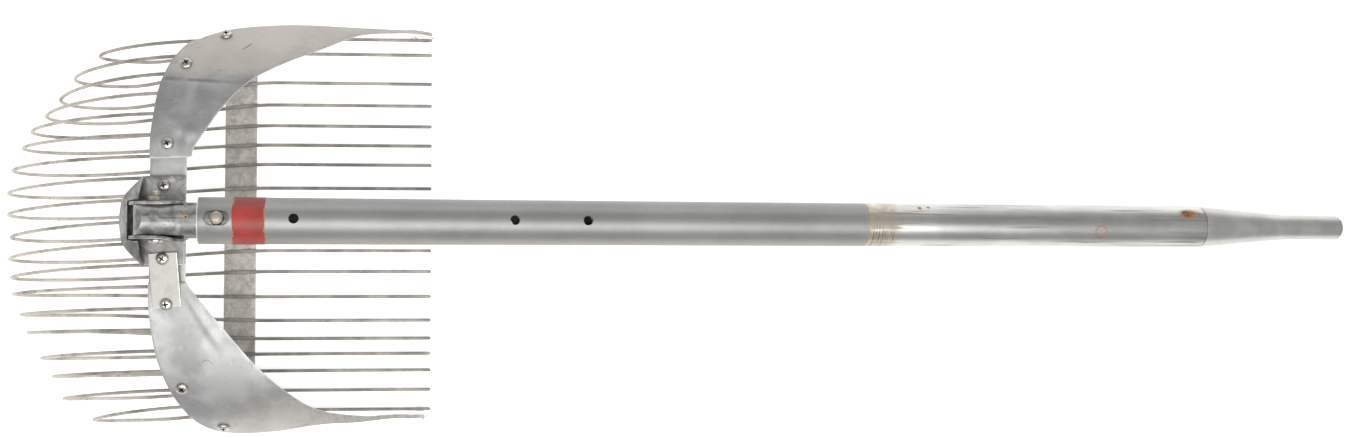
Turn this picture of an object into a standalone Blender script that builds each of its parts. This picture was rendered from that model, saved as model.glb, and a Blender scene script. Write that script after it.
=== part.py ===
"""Long-handled scoop rake with a basket of bent wire tines, sheet side plates and a tubular handle.

Lengths are in metres. The origin is the centre of the cross strap's underside, +X runs from the
basket towards the handle's free end, +Y is the left side and +Z is up. The head lies flat on its
strap and the handle slopes down from its hinge until its end touches the same ground.
"""

from math import asin, atan, cos, hypot, pi, radians, sin, sqrt

import bmesh
import bpy
from mathutils import Matrix, Vector

MM = 0.001
GAP = 0.0003               # left between pieces that touch

# Basket
TINE_COUNT = 19
WIRE_RADIUS = 0.0012
WIRE_SIDES = 8
STRAP_THICKNESS = 0.0016
STRAP_HALF_WIDTH = 0.011
STRAP_ENDS = (-0.136, 0.133)
TIP_X = 0.134              # free ends of the tines
TIP_PITCH = 0.0148
LOOP_PITCH = 0.0144
TOP_PITCH = 0.0140         # along the arch
LOOP_SHIFT = -0.007        # all the loops lean a little to the right
APEX_X = -0.147            # rearmost point of the middle loop
APEX_SWEEP = 0.38          # how fast the loops get shorter towards the sides
LOOP_FOOT = 0.028          # length of the tight bend under each loop's apex
APEX_HEIGHT = 0.3          # height of the apex, as a part of the upper leg's height
TOP_CURVE_POWER = 1.6      # 2 would be an ellipse
BEND_START = 0.025         # the lower legs are straight in front of this
TIP_BEND_MM = (1, 5, -1, -2, -2, -1, 0, -2, -2, -2, -2, -2, -5, -7, -5, -1, 2, 3, 4)
LOOP_BEND_MM = (-7.5, -10.6, -11.8, -8.2, -3.9, -0.4, -1.6, -2.9, -3.1, -4.5, -4.7, -2.7, 1, 1.6,
                4.3, 0.4, 2.5, 1, 0)
LOOP_REACH_MM = (-1.6, 1.6, -0.2, -0.4, 1.6, 1.6, 3.9, 3.7, 2.2, -0.4, 1, 1.2, 2.4, 1.2, 2.4, 0.8,
                 2.2, 6.3, -0.6)

# Arch that the top band and the side plates follow
ARCH_TOP = 0.097
ARCH_HALF_WIDTH = 0.144
ARCH_POWER = 3
ARCH_TAPER_START = 0.022   # in front of this the side plates come down
ARCH_TAPER_LENGTH = 0.128
ARCH_TAPER = 0.925
BAND_CENTRE_X = -0.0265
BAND_SWEEP = 0.030
BAND_HALF_WIDTH = 0.0115
BAND_THICKNESS = 0.0015
BAND_SWEEP_END = 0.1255    # beyond this the band runs straight down
BAND_ENDS = (-0.1362, 0.1252)
BAND_END_CUT = 0.014       # the rear corners are cut away over this length
PLATE_THICKNESS = 0.001
PLATE_LIFT = BAND_THICKNESS + 0.0007

# Side plate outlines in plan, in millimetres: rear and outer edge, then front and inner edge
LEFT_REAR = ((-38, 40), (-38, 56), (-35, 79), (-29, 99), (-17, 116), (4, 126), (38, 131),
             (76, 134), (108, 136), (122, 137), (134, 136))
LEFT_FRONT = ((-14, 41), (-5, 56), (7, 74), (23, 91), (43, 104), (66, 117), (86, 129),
              (108, 133.4), (122, 134.4), (134, 133.6))
RIGHT_REAR = ((-38, -39), (-38, -55), (-35, -82), (-28, -107), (-15, -129), (3, -138),
              (32, -137.6), (62, -134), (86, -134), (108, -133.2), (130, -134.4))
RIGHT_FRONT = ((-15, -39), (-4, -53), (9, -69), (26, -90), (44, -109), (64, -124), (90, -130),
               (108, -130.4), (130, -131.6))

# Hinge bracket
HINGE_X = -0.029
HINGE_Z = 0.117
BASE_OUTLINE_MM = ((-15, -28), (-15, 29), (-40, 29), (-50, 14.5), (-53, 5), (-53, -5),
                   (-50, -14.5), (-40, -28))
BASE_Z = (0.0988, 0.1013)
EAR_INNER = 0.00975
EAR_THICKNESS = 0.002
EAR_OUTLINE_MM = ((-45, 100), (-46, 116), (-41, 123.5), (-35, 126), (-23, 126), (-17, 122),
                  (-13.5, 112), (-13, 100))
STOP_LIP_X = (-0.017, -0.0152)
STOP_LIP_HALF = 0.008
STOP_LIP_TOP = 0.1033
BOLT_RADIUS = 0.0025
BOLT_HOLE_RADIUS = 0.0028

# Handle, measured along its axis from the hinge
SHANK_RADIUS = 0.0114
SHANK_CHEEK = 0.0094
SHANK_ROUND = 0.0135
SHANK_SHOULDER = 0.018
SHANK_LENGTH = 0.068
TUBE_RADIUS = 0.015
TUBE_BORE = 0.0117
TUBE_START = 0.0254
TUBE_END = 0.727
TUBE_SIDES = 32
ROLL = radians(5)          # the slot and the holes look a little to the left
SLOT_X = 0.0375
SLOT_RADIUS = 0.0047
SLOT_HALF_TRAVEL = 0.003
HOLE_RADIUS = 0.0032
HOLES = ((0.0844, 0, 1), (0.2245, radians(4), 2), (0.2726, radians(8), 2))
RED_BAND = (0.0468, 0.0668)
END_TAPER_END = 0.796
END_RADIUS = 0.00895
END_ROUND = 0.002
HANDLE_REACH = 0.8436
PLUG_LENGTH = 0.030
PIN_X = 0.711
PIN_ROLL = radians(39)
PIN_RADIUS = 0.0025

# Spring button, measured from the handle's axis
BUTTON_RADIUS = 0.0042
BUTTON_TOP = 0.0166
BUTTON_FOOT_RADIUS = 0.0052
BUTTON_FOOT = (0.0027, 0.0043)
BUTTON_SHOULDER = 0.0046
BORE_RADIUS = 0.0045
SPRING_BORE_RADIUS = 0.0055
SPRING_BORE_FLOOR = -0.008
SPRING_RADIUS = 0.0042
SPRING_WIRE = 0.00045
SPRING_TURNS = 4

# Screws: x, y, height of the seat over the band's underside, and the tilt about X of those that
# aren't square to the arch
NAME_PLATE_TILT = radians(6.8)
SCREWS = {
    "bracket_left": (-0.0281, 0.0228, 0.0048, 0),
    "bracket_right": (-0.0283, -0.0233, 0.0065, NAME_PLATE_TILT),
    "plate_left_inner": (-0.0268, 0.0497, 0.0034, None),
    "plate_right_inner": (-0.0265, -0.0527, 0.0045, NAME_PLATE_TILT),
    "plate_left_middle": (-0.0185, 0.1020, 0.0034, None),
    "plate_right_middle": (-0.0195, -0.1065, 0.0034, None),
    "plate_left_outer": (0.0040, 0.1222, 0.0034, None),
    "plate_right_outer": (0.0020, -0.1330, 0.0034, None),
}
SCREW_RADIUS = 0.0015
SCREW_HOLE = 0.0019
SCREW_HEAD = 0.0039
SCREW_TAIL = -0.0040
NUT_THICKNESS = 0.0024
NUT_ACROSS = 0.0064
NUT_DROP = 0.0008          # under the band, enough for the tilted ones


# ---------------------------------------------------------------- general helpers

def clear_scene():
    for obj in list(bpy.data.objects):
        bpy.data.objects.remove(obj, do_unlink=True)


def make_material(name, colour, roughness, metallic):
    material = bpy.data.materials.new(name)
    material.use_nodes = True
    shader = material.node_tree.nodes["Principled BSDF"]
    shader.inputs["Base Color"].default_value = (*colour, 1)
    shader.inputs["Roughness"].default_value = roughness
    shader.inputs["Metallic"].default_value = metallic
    return material


def make_object(name, bm, material=None, parent=None, smooth=True):
    """Turn a bmesh into an object. Without a material it is a cutter."""
    bmesh.ops.recalc_face_normals(bm, faces=bm.faces)
    mesh = bpy.data.meshes.new(name)
    bm.to_mesh(mesh)
    bm.free()
    if smooth:
        mesh.shade_smooth()
        mesh.set_sharp_from_angle(angle=radians(35))
    obj = bpy.data.objects.new(name, mesh)
    bpy.context.scene.collection.objects.link(obj)
    obj.parent = parent
    if material:
        mesh.materials.append(material)
    else:
        obj.hide_render = True
        obj.display_type = 'WIRE'
    return obj


def make_empty(name, location, rotation, parent=None):
    empty = bpy.data.objects.new(name, None)
    bpy.context.scene.collection.objects.link(empty)
    empty.location = location
    empty.rotation_euler = rotation
    empty.parent = parent
    return empty


def add_boolean(obj, cutter, operation='DIFFERENCE'):
    modifier = obj.modifiers.new(cutter.name, 'BOOLEAN')
    modifier.operation = operation
    modifier.solver = 'EXACT'
    modifier.object = cutter


def box_mesh(low, high):
    bm = bmesh.new()
    bmesh.ops.create_cube(bm, size=1)
    size = Vector(high) - Vector(low)
    middle = (Vector(high) + Vector(low)) / 2
    bmesh.ops.transform(bm, verts=bm.verts, matrix=Matrix.Translation(middle) @ Matrix.Diagonal((*size, 1)))
    return bm


def rod_mesh(radius, start, end, frame=None, sides=20):
    """A round or many-sided rod along local Z, from start to end, placed by a matrix."""
    bm = bmesh.new()
    bmesh.ops.create_cone(bm, cap_ends=True, segments=sides, radius1=radius, radius2=radius,
                          depth=end - start)
    bmesh.ops.translate(bm, verts=bm.verts, vec=(0, 0, (start + end) / 2))
    if frame:
        bmesh.ops.transform(bm, verts=bm.verts, matrix=frame)
    return bm


def turned_mesh(profile, axis, sides):
    """Turn a closed outline of (along, radius) points about X or Z. Points on the axis close it."""
    bm = bmesh.new()
    rings = []
    for along, radius in profile:
        if radius == 0:
            point = (along, 0, 0) if axis == 'X' else (0, 0, along)
            rings.append([bm.verts.new(point)])
            continue
        ring = []
        for i in range(sides):
            a, b = radius * cos(2 * pi * i / sides), radius * sin(2 * pi * i / sides)
            ring.append(bm.verts.new((along, a, b) if axis == 'X' else (a, b, along)))
        rings.append(ring)
    pairs = list(zip(rings, rings[1:]))
    if len(rings[0]) > 1:
        pairs.append((rings[-1], rings[0]))
    for first, second in pairs:
        for i in range(sides):
            j = (i + 1) % sides
            corners = [first[i % len(first)], first[j % len(first)],
                       second[j % len(second)], second[i % len(second)]]
            corners = list(dict.fromkeys(corners))
            if len(corners) > 2:
                bm.faces.new(corners)
    return bm


def extruded_mesh(outline, y_low, y_high):
    """Extrude an outline of (x, z) points along Y."""
    bm = bmesh.new()
    face = bm.faces.new([bm.verts.new((x, y_low, z)) for x, z in outline])
    moved = bmesh.ops.extrude_face_region(bm, geom=[face])["geom"]
    verts = [item for item in moved if isinstance(item, bmesh.types.BMVert)]
    bmesh.ops.translate(bm, verts=verts, vec=(0, y_high - y_low, 0))
    return bm


def tube_mesh(points, radius, sides):
    """A round wire through points, with flat ends."""
    bm = bmesh.new()
    across = None
    rings = []
    for i, point in enumerate(points):
        before = points[max(i - 1, 0)]
        after = points[min(i + 1, len(points) - 1)]
        along = (after - before).normalized()
        if across is None:
            across = along.orthogonal().normalized()
        across = (across - along * across.dot(along)).normalized()
        other = along.cross(across)
        rings.append([bm.verts.new(point + radius * (cos(2 * pi * k / sides) * across
                                                     + sin(2 * pi * k / sides) * other))
                      for k in range(sides)])
    for first, second in zip(rings, rings[1:]):
        for k in range(sides):
            n = (k + 1) % sides
            bm.faces.new((first[k], first[n], second[n], second[k]))
    bm.faces.new(rings[0])
    bm.faces.new(rings[-1])
    return bm


def sheet_mesh(grid, thickness):
    """A closed sheet: rows of points on its underside, raised by a thickness along the normals."""
    rows, columns = len(grid), len(grid[0])

    def normal(r, c):
        along = grid[min(r + 1, rows - 1)][c] - grid[max(r - 1, 0)][c]
        across = grid[r][min(c + 1, columns - 1)] - grid[r][max(c - 1, 0)]
        up = along.cross(across).normalized()
        return up if up.z > 0 else -up

    bm = bmesh.new()
    low = [[bm.verts.new(grid[r][c]) for c in range(columns)] for r in range(rows)]
    high = [[bm.verts.new(grid[r][c] + thickness * normal(r, c)) for c in range(columns)]
            for r in range(rows)]
    for r in range(rows - 1):
        for c in range(columns - 1):
            for side in (low, high):
                bm.faces.new((side[r][c], side[r + 1][c], side[r + 1][c + 1], side[r][c + 1]))
    rim = [(r, 0) for r in range(rows)]
    rim += [(rows - 1, c) for c in range(1, columns)]
    rim += [(r, columns - 1) for r in range(rows - 2, -1, -1)]
    rim += [(0, c) for c in range(columns - 2, 0, -1)]
    for (r1, c1), (r2, c2) in zip(rim, rim[1:] + rim[:1]):
        bm.faces.new((low[r1][c1], low[r2][c2], high[r2][c2], high[r1][c1]))
    return bm


def smooth_step(t):
    t = min(max(t, 0), 1)
    return t * t * (3 - 2 * t)


def curve_through(points, steps):
    """Evenly spaced points on a smooth curve through hand-placed ones."""
    ends = [2 * points[0] - points[1]] + points + [2 * points[-1] - points[-2]]
    fine = []
    for a, b, c, d in zip(ends, ends[1:], ends[2:], ends[3:]):
        for i in range(12):
            t = i / 12
            fine.append(0.5 * (2 * b + (c - a) * t + (2 * a - 5 * b + 4 * c - d) * t ** 2
                               + (3 * b - a - 3 * c + d) * t ** 3))
    fine.append(points[-1])
    lengths = [0]
    for first, second in zip(fine, fine[1:]):
        lengths.append(lengths[-1] + (second - first).length)
    result = []
    at = 0
    for i in range(steps + 1):
        wanted = lengths[-1] * i / steps
        while at < len(fine) - 2 and lengths[at + 1] < wanted:
            at += 1
        part = (wanted - lengths[at]) / (lengths[at + 1] - lengths[at])
        result.append(fine[at].lerp(fine[at + 1], min(max(part, 0), 1)))
    return result


# ---------------------------------------------------------------- the arch

def arch_height(y):
    part = 1 - min(abs(y) / ARCH_HALF_WIDTH, 0.995) ** ARCH_POWER
    return ARCH_TOP * part ** (1 / ARCH_POWER)


def arch_normal(y):
    step = 0.0002
    slope = (arch_height(y + step) - arch_height(y - step)) / (2 * step)
    return Vector((0, -slope, 1)).normalized()


def arch_y_at(length):
    """The y where the arch has run a given length from its middle."""
    y, run = 0, 0
    step = 0.0002 if length > 0 else -0.0002
    while run < abs(length):
        run += hypot(step, arch_height(y + step) - arch_height(y))
        y += step
    return y


def band_centre_x(y):
    return BAND_CENTRE_X + BAND_SWEEP * (min(abs(y), BAND_SWEEP_END) / 0.125) ** 6


# ---------------------------------------------------------------- basket

def tine_points(index):
    """One wire from its tip, along the ground, round its loop and up to the band."""
    place = (TINE_COUNT - 1) / 2 - index
    tip_y = TIP_PITCH * place - MM + TIP_BEND_MM[index] * MM
    loop_y = LOOP_PITCH * place + LOOP_SHIFT + LOOP_BEND_MM[index] * MM
    top_y = arch_y_at(TOP_PITCH * place)
    low = STRAP_THICKNESS + GAP + WIRE_RADIUS
    top = arch_height(top_y) - (WIRE_RADIUS + 2 * GAP) / arch_normal(top_y).z
    apex_x = APEX_X + APEX_SWEEP * MM * abs(place) ** 2.25 - LOOP_REACH_MM[index] * MM
    apex_z = APEX_HEIGHT * top
    end_x = band_centre_x(top_y) - 0.0065
    foot_x = apex_x + LOOP_FOOT

    points = []
    for step in range(8):
        x = TIP_X + (foot_x - TIP_X) * step / 8
        turn = smooth_step((BEND_START - x) / (BEND_START - foot_x))
        points.append(Vector((x, tip_y + (loop_y - tip_y) * turn, low)))

    def lean(z):
        return loop_y + (top_y - loop_y) * max((z - low) / (top - low), 0) ** 1.5

    for step in range(5):
        angle = pi / 2 * step / 5
        z = apex_z - (apex_z - low) * cos(angle)
        points.append(Vector((foot_x - LOOP_FOOT * sin(angle), lean(z), z)))
    for step in range(9):
        angle = pi / 2 * step / 8
        x = apex_x + (end_x - apex_x) * (1 - cos(angle) ** (2 / TOP_CURVE_POWER))
        z = apex_z + (top - apex_z) * sin(angle) ** (2 / TOP_CURVE_POWER)
        points.append(Vector((x, lean(z), z)))
    return points


def build_tines(material):
    for index in range(TINE_COUNT):
        make_object(f"tine_{index + 1:02d}", tube_mesh(tine_points(index), WIRE_RADIUS, WIRE_SIDES), material)


def build_strap(material):
    bm = box_mesh((-STRAP_HALF_WIDTH, STRAP_ENDS[0], 0), (STRAP_HALF_WIDTH, STRAP_ENDS[1], STRAP_THICKNESS))
    make_object("cross_strap", bm, material, smooth=False)


def build_band(material):
    grid = []
    start, end = BAND_ENDS
    for step in range(27):
        y = start + (end - start) * step / 26
        reach = 0.0005
        along = Vector((band_centre_x(y + reach) - band_centre_x(y - reach), 2 * reach,
                        arch_height(y + reach) - arch_height(y - reach))).normalized()
        across = along.cross(arch_normal(y)).normalized()
        middle = Vector((band_centre_x(y), y, arch_height(y)))
        rear = 0.75 * smooth_step(1 - min(y - start, end - y) / BAND_END_CUT) - 1
        sides = [rear + (1 - rear) * column / 3 for column in range(4)]
        grid.append([middle + across * BAND_HALF_WIDTH * side for side in sides])
    band = make_object("top_band", sheet_mesh(grid, BAND_THICKNESS), material)
    return band


def plate_point(x, y):
    """A point on a side plate's underside: the arch, coming down towards the tine tips."""
    part = (x - ARCH_TAPER_START) / ARCH_TAPER_LENGTH
    taper = 1 - ARCH_TAPER * smooth_step(part)
    lift = PLATE_LIFT * arch_normal(y)
    return Vector((x, y, arch_height(y) * taper)) + lift


def build_side_plate(name, rear, front, material):
    rear_curve = curve_through([Vector((x, y, 0)) * MM for x, y in rear], 26)
    front_curve = curve_through([Vector((x, y, 0)) * MM for x, y in front], 26)
    grid = []
    for back, fore in zip(rear_curve, front_curve):
        row = []
        for column in range(8):
            flat = back.lerp(fore, column / 7)
            row.append(plate_point(flat.x, flat.y))
        grid.append(row)
    return make_object(name, sheet_mesh(grid, PLATE_THICKNESS), material)


# ---------------------------------------------------------------- hinge bracket

def screw_frame(x, y, tilt):
    up = arch_normal(y) if tilt is None else Vector((0, -sin(tilt), cos(tilt)))
    turn = up.to_track_quat('Z', 'X').to_matrix().to_4x4()
    return Matrix.Translation((x, y, arch_height(y))) @ turn


def build_bracket(material):
    low, high = BASE_Z
    bm = bmesh.new()
    face = bm.faces.new([bm.verts.new((x * MM, y * MM, low)) for x, y in BASE_OUTLINE_MM])
    moved = bmesh.ops.extrude_face_region(bm, geom=[face])["geom"]
    verts = [item for item in moved if isinstance(item, bmesh.types.BMVert)]
    bmesh.ops.translate(bm, verts=verts, vec=(0, 0, high - low))
    bracket = make_object("hinge_bracket", bm, material, smooth=False)
    outline = [(x * MM, z * MM) for x, z in EAR_OUTLINE_MM]
    for side, word in ((1, "left"), (-1, "right")):
        near, far = sorted((side * EAR_INNER, side * (EAR_INNER + EAR_THICKNESS)))
        ear = make_object(f"ear_{word}_shape", extruded_mesh(outline, near, far))
        add_boolean(bracket, ear, 'UNION')
    lip = make_object("stop_lip_shape", box_mesh((STOP_LIP_X[0], -STOP_LIP_HALF, BASE_Z[0] + MM),
                                                 (STOP_LIP_X[1], STOP_LIP_HALF, STOP_LIP_TOP)))
    add_boolean(bracket, lip, 'UNION')
    across = Matrix.Translation((HINGE_X, 0, HINGE_Z)) @ Matrix.Rotation(-pi / 2, 4, 'X')
    add_boolean(bracket, make_object("ear_hole", rod_mesh(BOLT_HOLE_RADIUS, -0.02, 0.02, across)))
    return bracket


def build_shroud(material):
    """Folded sheet behind the ears, sloping down to the wires, open where the shank turns."""
    corners_mm = [(-40.8, 13.2, 114.5), (-48.2, 13.2, 114.5), (-48.2, 9.2, 114), (-40.8, 29, 103),
                  (-53, 16.5, 100.4), (-56, 6, 100)]
    bm = bmesh.new()
    left = [bm.verts.new(Vector(c) * MM) for c in corners_mm]
    right = [bm.verts.new(Vector((c[0], -c[1], c[2])) * MM) for c in corners_mm]
    for a1, a2, e, b, c, d in (left, right):
        bm.faces.new((a1, b, c))
        bm.faces.new((a1, c, a2))
        bm.faces.new((a2, c, d, e))
    bm.faces.new((left[2], left[5], right[5], right[2]))
    bmesh.ops.recalc_face_normals(bm, faces=bm.faces)
    if sum((f.normal.z for f in bm.faces), 0) < 0:
        bmesh.ops.reverse_faces(bm, faces=bm.faces)
    mesh = bpy.data.meshes.new("rear_shroud")
    bm.to_mesh(mesh)
    bm.free()
    mesh.materials.append(material)
    shroud = bpy.data.objects.new("rear_shroud", mesh)
    bpy.context.scene.collection.objects.link(shroud)
    solid = shroud.modifiers.new("thickness", 'SOLIDIFY')
    solid.thickness = 0.0012
    solid.offset = -1
    solid.use_even_offset = True
    return shroud


def build_hinge_bolt(steel, dark):
    across = Matrix.Translation((HINGE_X, 0, HINGE_Z)) @ Matrix.Rotation(-pi / 2, 4, 'X')
    seat = EAR_INNER + EAR_THICKNESS + GAP
    profile = ((-seat - 0.0029, 0), (-seat - 0.0029, 0.0030), (-seat - 0.0022, 0.0042),
               (-seat - 0.0012, 0.0046), (-seat, 0.0046), (-seat, BOLT_RADIUS),
               (0.0180, BOLT_RADIUS), (0.0185, 0.0020), (0.0185, 0))
    bm = turned_mesh(profile, 'Z', 16)
    bmesh.ops.transform(bm, verts=bm.verts, matrix=across)
    make_object("hinge_bolt", bm, steel)
    nut = make_object("hinge_nut", rod_mesh(0.0058, seat, seat + 0.0032, across, 6), dark, smooth=False)
    add_boolean(nut, make_object("hinge_nut_hole", rod_mesh(BOLT_HOLE_RADIUS, 0, 0.03, across)))


def build_name_plate(material):
    frame = Matrix.Translation((-0.0272, -0.0377, 0.1006)) @ Matrix.Rotation(NAME_PLATE_TILT, 4, 'X') \
        @ Matrix.Rotation(radians(3.5), 4, 'Z')
    bm = box_mesh((-0.009, -0.0175, 0), (0.009, 0.0175, 0.0006))
    bmesh.ops.transform(bm, verts=bm.verts, matrix=frame)
    return make_object("name_plate", bm, material, smooth=False)


def build_screws(layers, screw_material, nut_material):
    """Pan-head screws with nuts under the band, and their holes through every layer."""
    for name, (x, y, seat, tilt) in SCREWS.items():
        frame = screw_frame(x, y, tilt)
        profile = ((SCREW_TAIL, 0), (SCREW_TAIL, SCREW_RADIUS), (seat, SCREW_RADIUS),
                   (seat, SCREW_HEAD), (seat + 0.0012, SCREW_HEAD), (seat + 0.0020, 0.0028),
                   (seat + 0.0022, 0))
        bm = turned_mesh(profile, 'Z', 12)
        bmesh.ops.transform(bm, verts=bm.verts, matrix=frame)
        make_object(f"screw_{name}", bm, screw_material)
        bm = rod_mesh(NUT_ACROSS / sqrt(3), -NUT_DROP - NUT_THICKNESS, -NUT_DROP, frame, 6)
        nut = make_object(f"nut_{name}", bm, nut_material, smooth=False)
        hole = make_object(f"hole_{name}", rod_mesh(SCREW_HOLE, -0.008, 0.008, frame, 12))
        add_boolean(nut, hole)
        for layer in layers[name]:
            add_boolean(layer, hole)


# ---------------------------------------------------------------- handle

def handle_slope():
    """The slope that brings the handle's end down to the ground."""
    reach = HANDLE_REACH - END_ROUND
    return asin(HINGE_Z / hypot(reach, END_RADIUS)) - atan(END_RADIUS / reach)


def build_shank(pivot, roll, material):
    profile = ((-0.016, 0), (-0.016, SHANK_RADIUS), (SHANK_LENGTH - MM, SHANK_RADIUS),
               (SHANK_LENGTH, SHANK_RADIUS - MM), (SHANK_LENGTH, 0))
    shank = make_object("hinge_shank", turned_mesh(profile, 'X', TUBE_SIDES), material, pivot)
    outline = []
    for step in range(13):
        angle = pi / 2 + pi * step / 12
        outline.append((SHANK_ROUND * cos(angle), SHANK_ROUND * sin(angle)))
    outline += [(0.08, -SHANK_ROUND), (0.08, SHANK_ROUND)]
    add_boolean(shank, make_object("shank_side_shape", extruded_mesh(outline, -0.013, 0.013), None, pivot),
                'INTERSECT')
    for side, word in ((1, "left"), (-1, "right")):
        near, far = sorted((side * SHANK_CHEEK, side * 0.02))
        cut = ((-0.02, near), (-0.02, far), (SHANK_SHOULDER, far), (SHANK_SHOULDER, near))
        bm = bmesh.new()
        face = bm.faces.new([bm.verts.new((x, y, -0.02)) for x, y in cut])
        moved = bmesh.ops.extrude_face_region(bm, geom=[face])["geom"]
        verts = [item for item in moved if isinstance(item, bmesh.types.BMVert)]
        bmesh.ops.translate(bm, verts=verts, vec=(0, 0, 0.04))
        add_boolean(shank, make_object(f"cheek_{word}_shape", bm, None, pivot))
    across = Matrix.Rotation(pi / 2, 4, 'X')
    add_boolean(shank, make_object("shank_hole", rod_mesh(BOLT_HOLE_RADIUS, -0.02, 0.02, across), None, pivot))
    outer = make_object("button_bore", rod_mesh(BORE_RADIUS, 0, 0.02), None, roll)
    inner = make_object("spring_bore", rod_mesh(SPRING_BORE_RADIUS, SPRING_BORE_FLOOR, BUTTON_SHOULDER),
                        None, roll)
    for bore in (outer, inner):
        bore.location.x = SLOT_X
        add_boolean(shank, bore)
    return shank


def build_button(roll, button_material, spring_material):
    low, high = BUTTON_FOOT
    profile = ((low, 0), (low, BUTTON_FOOT_RADIUS), (high, BUTTON_FOOT_RADIUS), (high, BUTTON_RADIUS),
               (BUTTON_TOP - 0.0014, BUTTON_RADIUS), (BUTTON_TOP - 0.0006, 0.0034),
               (BUTTON_TOP - 0.0001, 0.0018), (BUTTON_TOP, 0))
    button = make_object("release_button", turned_mesh(profile, 'Z', 20), button_material, roll)
    button.location.x = SLOT_X

    bottom = SPRING_BORE_FLOOR + GAP + SPRING_WIRE
    top = low - GAP - SPRING_WIRE
    points = []
    steps = 10 * SPRING_TURNS
    for step in range(steps + 1):
        angle = 2 * pi * SPRING_TURNS * step / steps
        points.append(Vector((SPRING_RADIUS * cos(angle), SPRING_RADIUS * sin(angle),
                              bottom + (top - bottom) * step / steps)))
    spring = make_object("button_spring", tube_mesh(points, SPRING_WIRE, 5), spring_material, roll)
    spring.location.x = SLOT_X


def build_tube(pivot, roll, material):
    profile = ((TUBE_START, TUBE_BORE), (TUBE_START, TUBE_RADIUS), (TUBE_END, TUBE_RADIUS),
               (TUBE_END, TUBE_BORE))
    tube = make_object("handle_tube", turned_mesh(profile, 'X', TUBE_SIDES), material, pivot)
    bm = bmesh.new()
    corners = []
    for step in range(20):
        angle = 2 * pi * (step + 0.5) / 20
        shift = SLOT_HALF_TRAVEL if cos(angle) > 0 else -SLOT_HALF_TRAVEL
        corners.append(bm.verts.new((SLOT_X + shift + SLOT_RADIUS * cos(angle),
                                     SLOT_RADIUS * sin(angle), 0.006)))
    moved = bmesh.ops.extrude_face_region(bm, geom=[bm.faces.new(corners)])["geom"]
    verts = [item for item in moved if isinstance(item, bmesh.types.BMVert)]
    bmesh.ops.translate(bm, verts=verts, vec=(0, 0, 0.014))
    add_boolean(tube, make_object("button_slot", bm, None, roll))
    for number, (x, drill_lean, walls) in enumerate(HOLES):
        frame = Matrix.Translation((x, 0, 0.0133)) @ Matrix.Rotation(drill_lean, 4, 'Y') \
            @ Matrix.Translation((0, 0, -0.0133))
        depth = 0.004 if walls == 1 else -0.02
        add_boolean(tube, make_object(f"tube_hole_{number + 1}", rod_mesh(HOLE_RADIUS, depth, 0.02, frame),
                                      None, roll))
    return tube


def build_red_band(pivot, material):
    start, end = RED_BAND
    profile = ((start, TUBE_RADIUS + GAP), (start, TUBE_RADIUS + 2 * GAP), (end, TUBE_RADIUS + 2 * GAP),
               (end, TUBE_RADIUS + GAP))
    make_object("red_band", turned_mesh(profile, 'X', TUBE_SIDES), material, pivot)


def build_end_fitting(pivot, material):
    profile = [(TUBE_END - PLUG_LENGTH, 0), (TUBE_END - PLUG_LENGTH, SHANK_RADIUS),
               (TUBE_END + GAP, SHANK_RADIUS), (TUBE_END + GAP, TUBE_RADIUS - GAP),
               (TUBE_END + 0.004, TUBE_RADIUS - 2 * GAP), (END_TAPER_END, END_RADIUS + GAP),
               (END_TAPER_END + 0.008, END_RADIUS)]
    for step in range(4):
        angle = pi / 2 * step / 3
        profile.append((HANDLE_REACH - END_ROUND * (1 - sin(angle)), END_RADIUS - END_ROUND * (1 - cos(angle))))
    profile.append((HANDLE_REACH, 0))
    return make_object("end_fitting", turned_mesh(profile, 'X', TUBE_SIDES), material, pivot)


def build_end_pin(pivot, tube, fitting, material):
    frame = Matrix.Translation((PIN_X, 0, 0)) @ Matrix.Rotation(-PIN_ROLL, 4, 'X')
    reach = TUBE_RADIUS - GAP
    make_object("end_pin", rod_mesh(PIN_RADIUS, -reach, reach, frame, 16), material, pivot)
    hole = make_object("pin_hole", rod_mesh(PIN_RADIUS + GAP, -0.02, 0.02, frame, 16), None, pivot)
    add_boolean(tube, hole)
    add_boolean(fitting, hole)


def build_handle(grey, bare, steel, red, rust):
    pivot = make_empty("handle_pivot", (HINGE_X, 0, HINGE_Z), (0, handle_slope(), 0))
    roll = make_empty("handle_roll", (0, 0, 0), (-ROLL, 0, 0), pivot)
    build_shank(pivot, roll, bare)
    build_button(roll, steel, steel)
    tube = build_tube(pivot, roll, grey)
    build_red_band(pivot, red)
    fitting = build_end_fitting(pivot, bare)
    build_end_pin(pivot, tube, fitting, rust)


def build_head(sheet, wire, steel, dark, plate_white):
    build_tines(wire)
    build_strap(wire)
    band = build_band(sheet)
    left = build_side_plate("side_plate_left", LEFT_REAR, LEFT_FRONT, sheet)
    right = build_side_plate("side_plate_right", RIGHT_REAR, RIGHT_FRONT, sheet)
    bracket = build_bracket(sheet)
    build_shroud(sheet)
    build_hinge_bolt(steel, dark)
    name_plate = build_name_plate(plate_white)
    build_screws({
        "bracket_left": (band, bracket),
        "bracket_right": (band, bracket, name_plate),
        "plate_left_inner": (band, left),
        "plate_right_inner": (band, right, name_plate),
        "plate_left_middle": (band, left),
        "plate_right_middle": (band, right),
        "plate_left_outer": (band, left),
        "plate_right_outer": (band, right),
    }, steel, dark)


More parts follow.
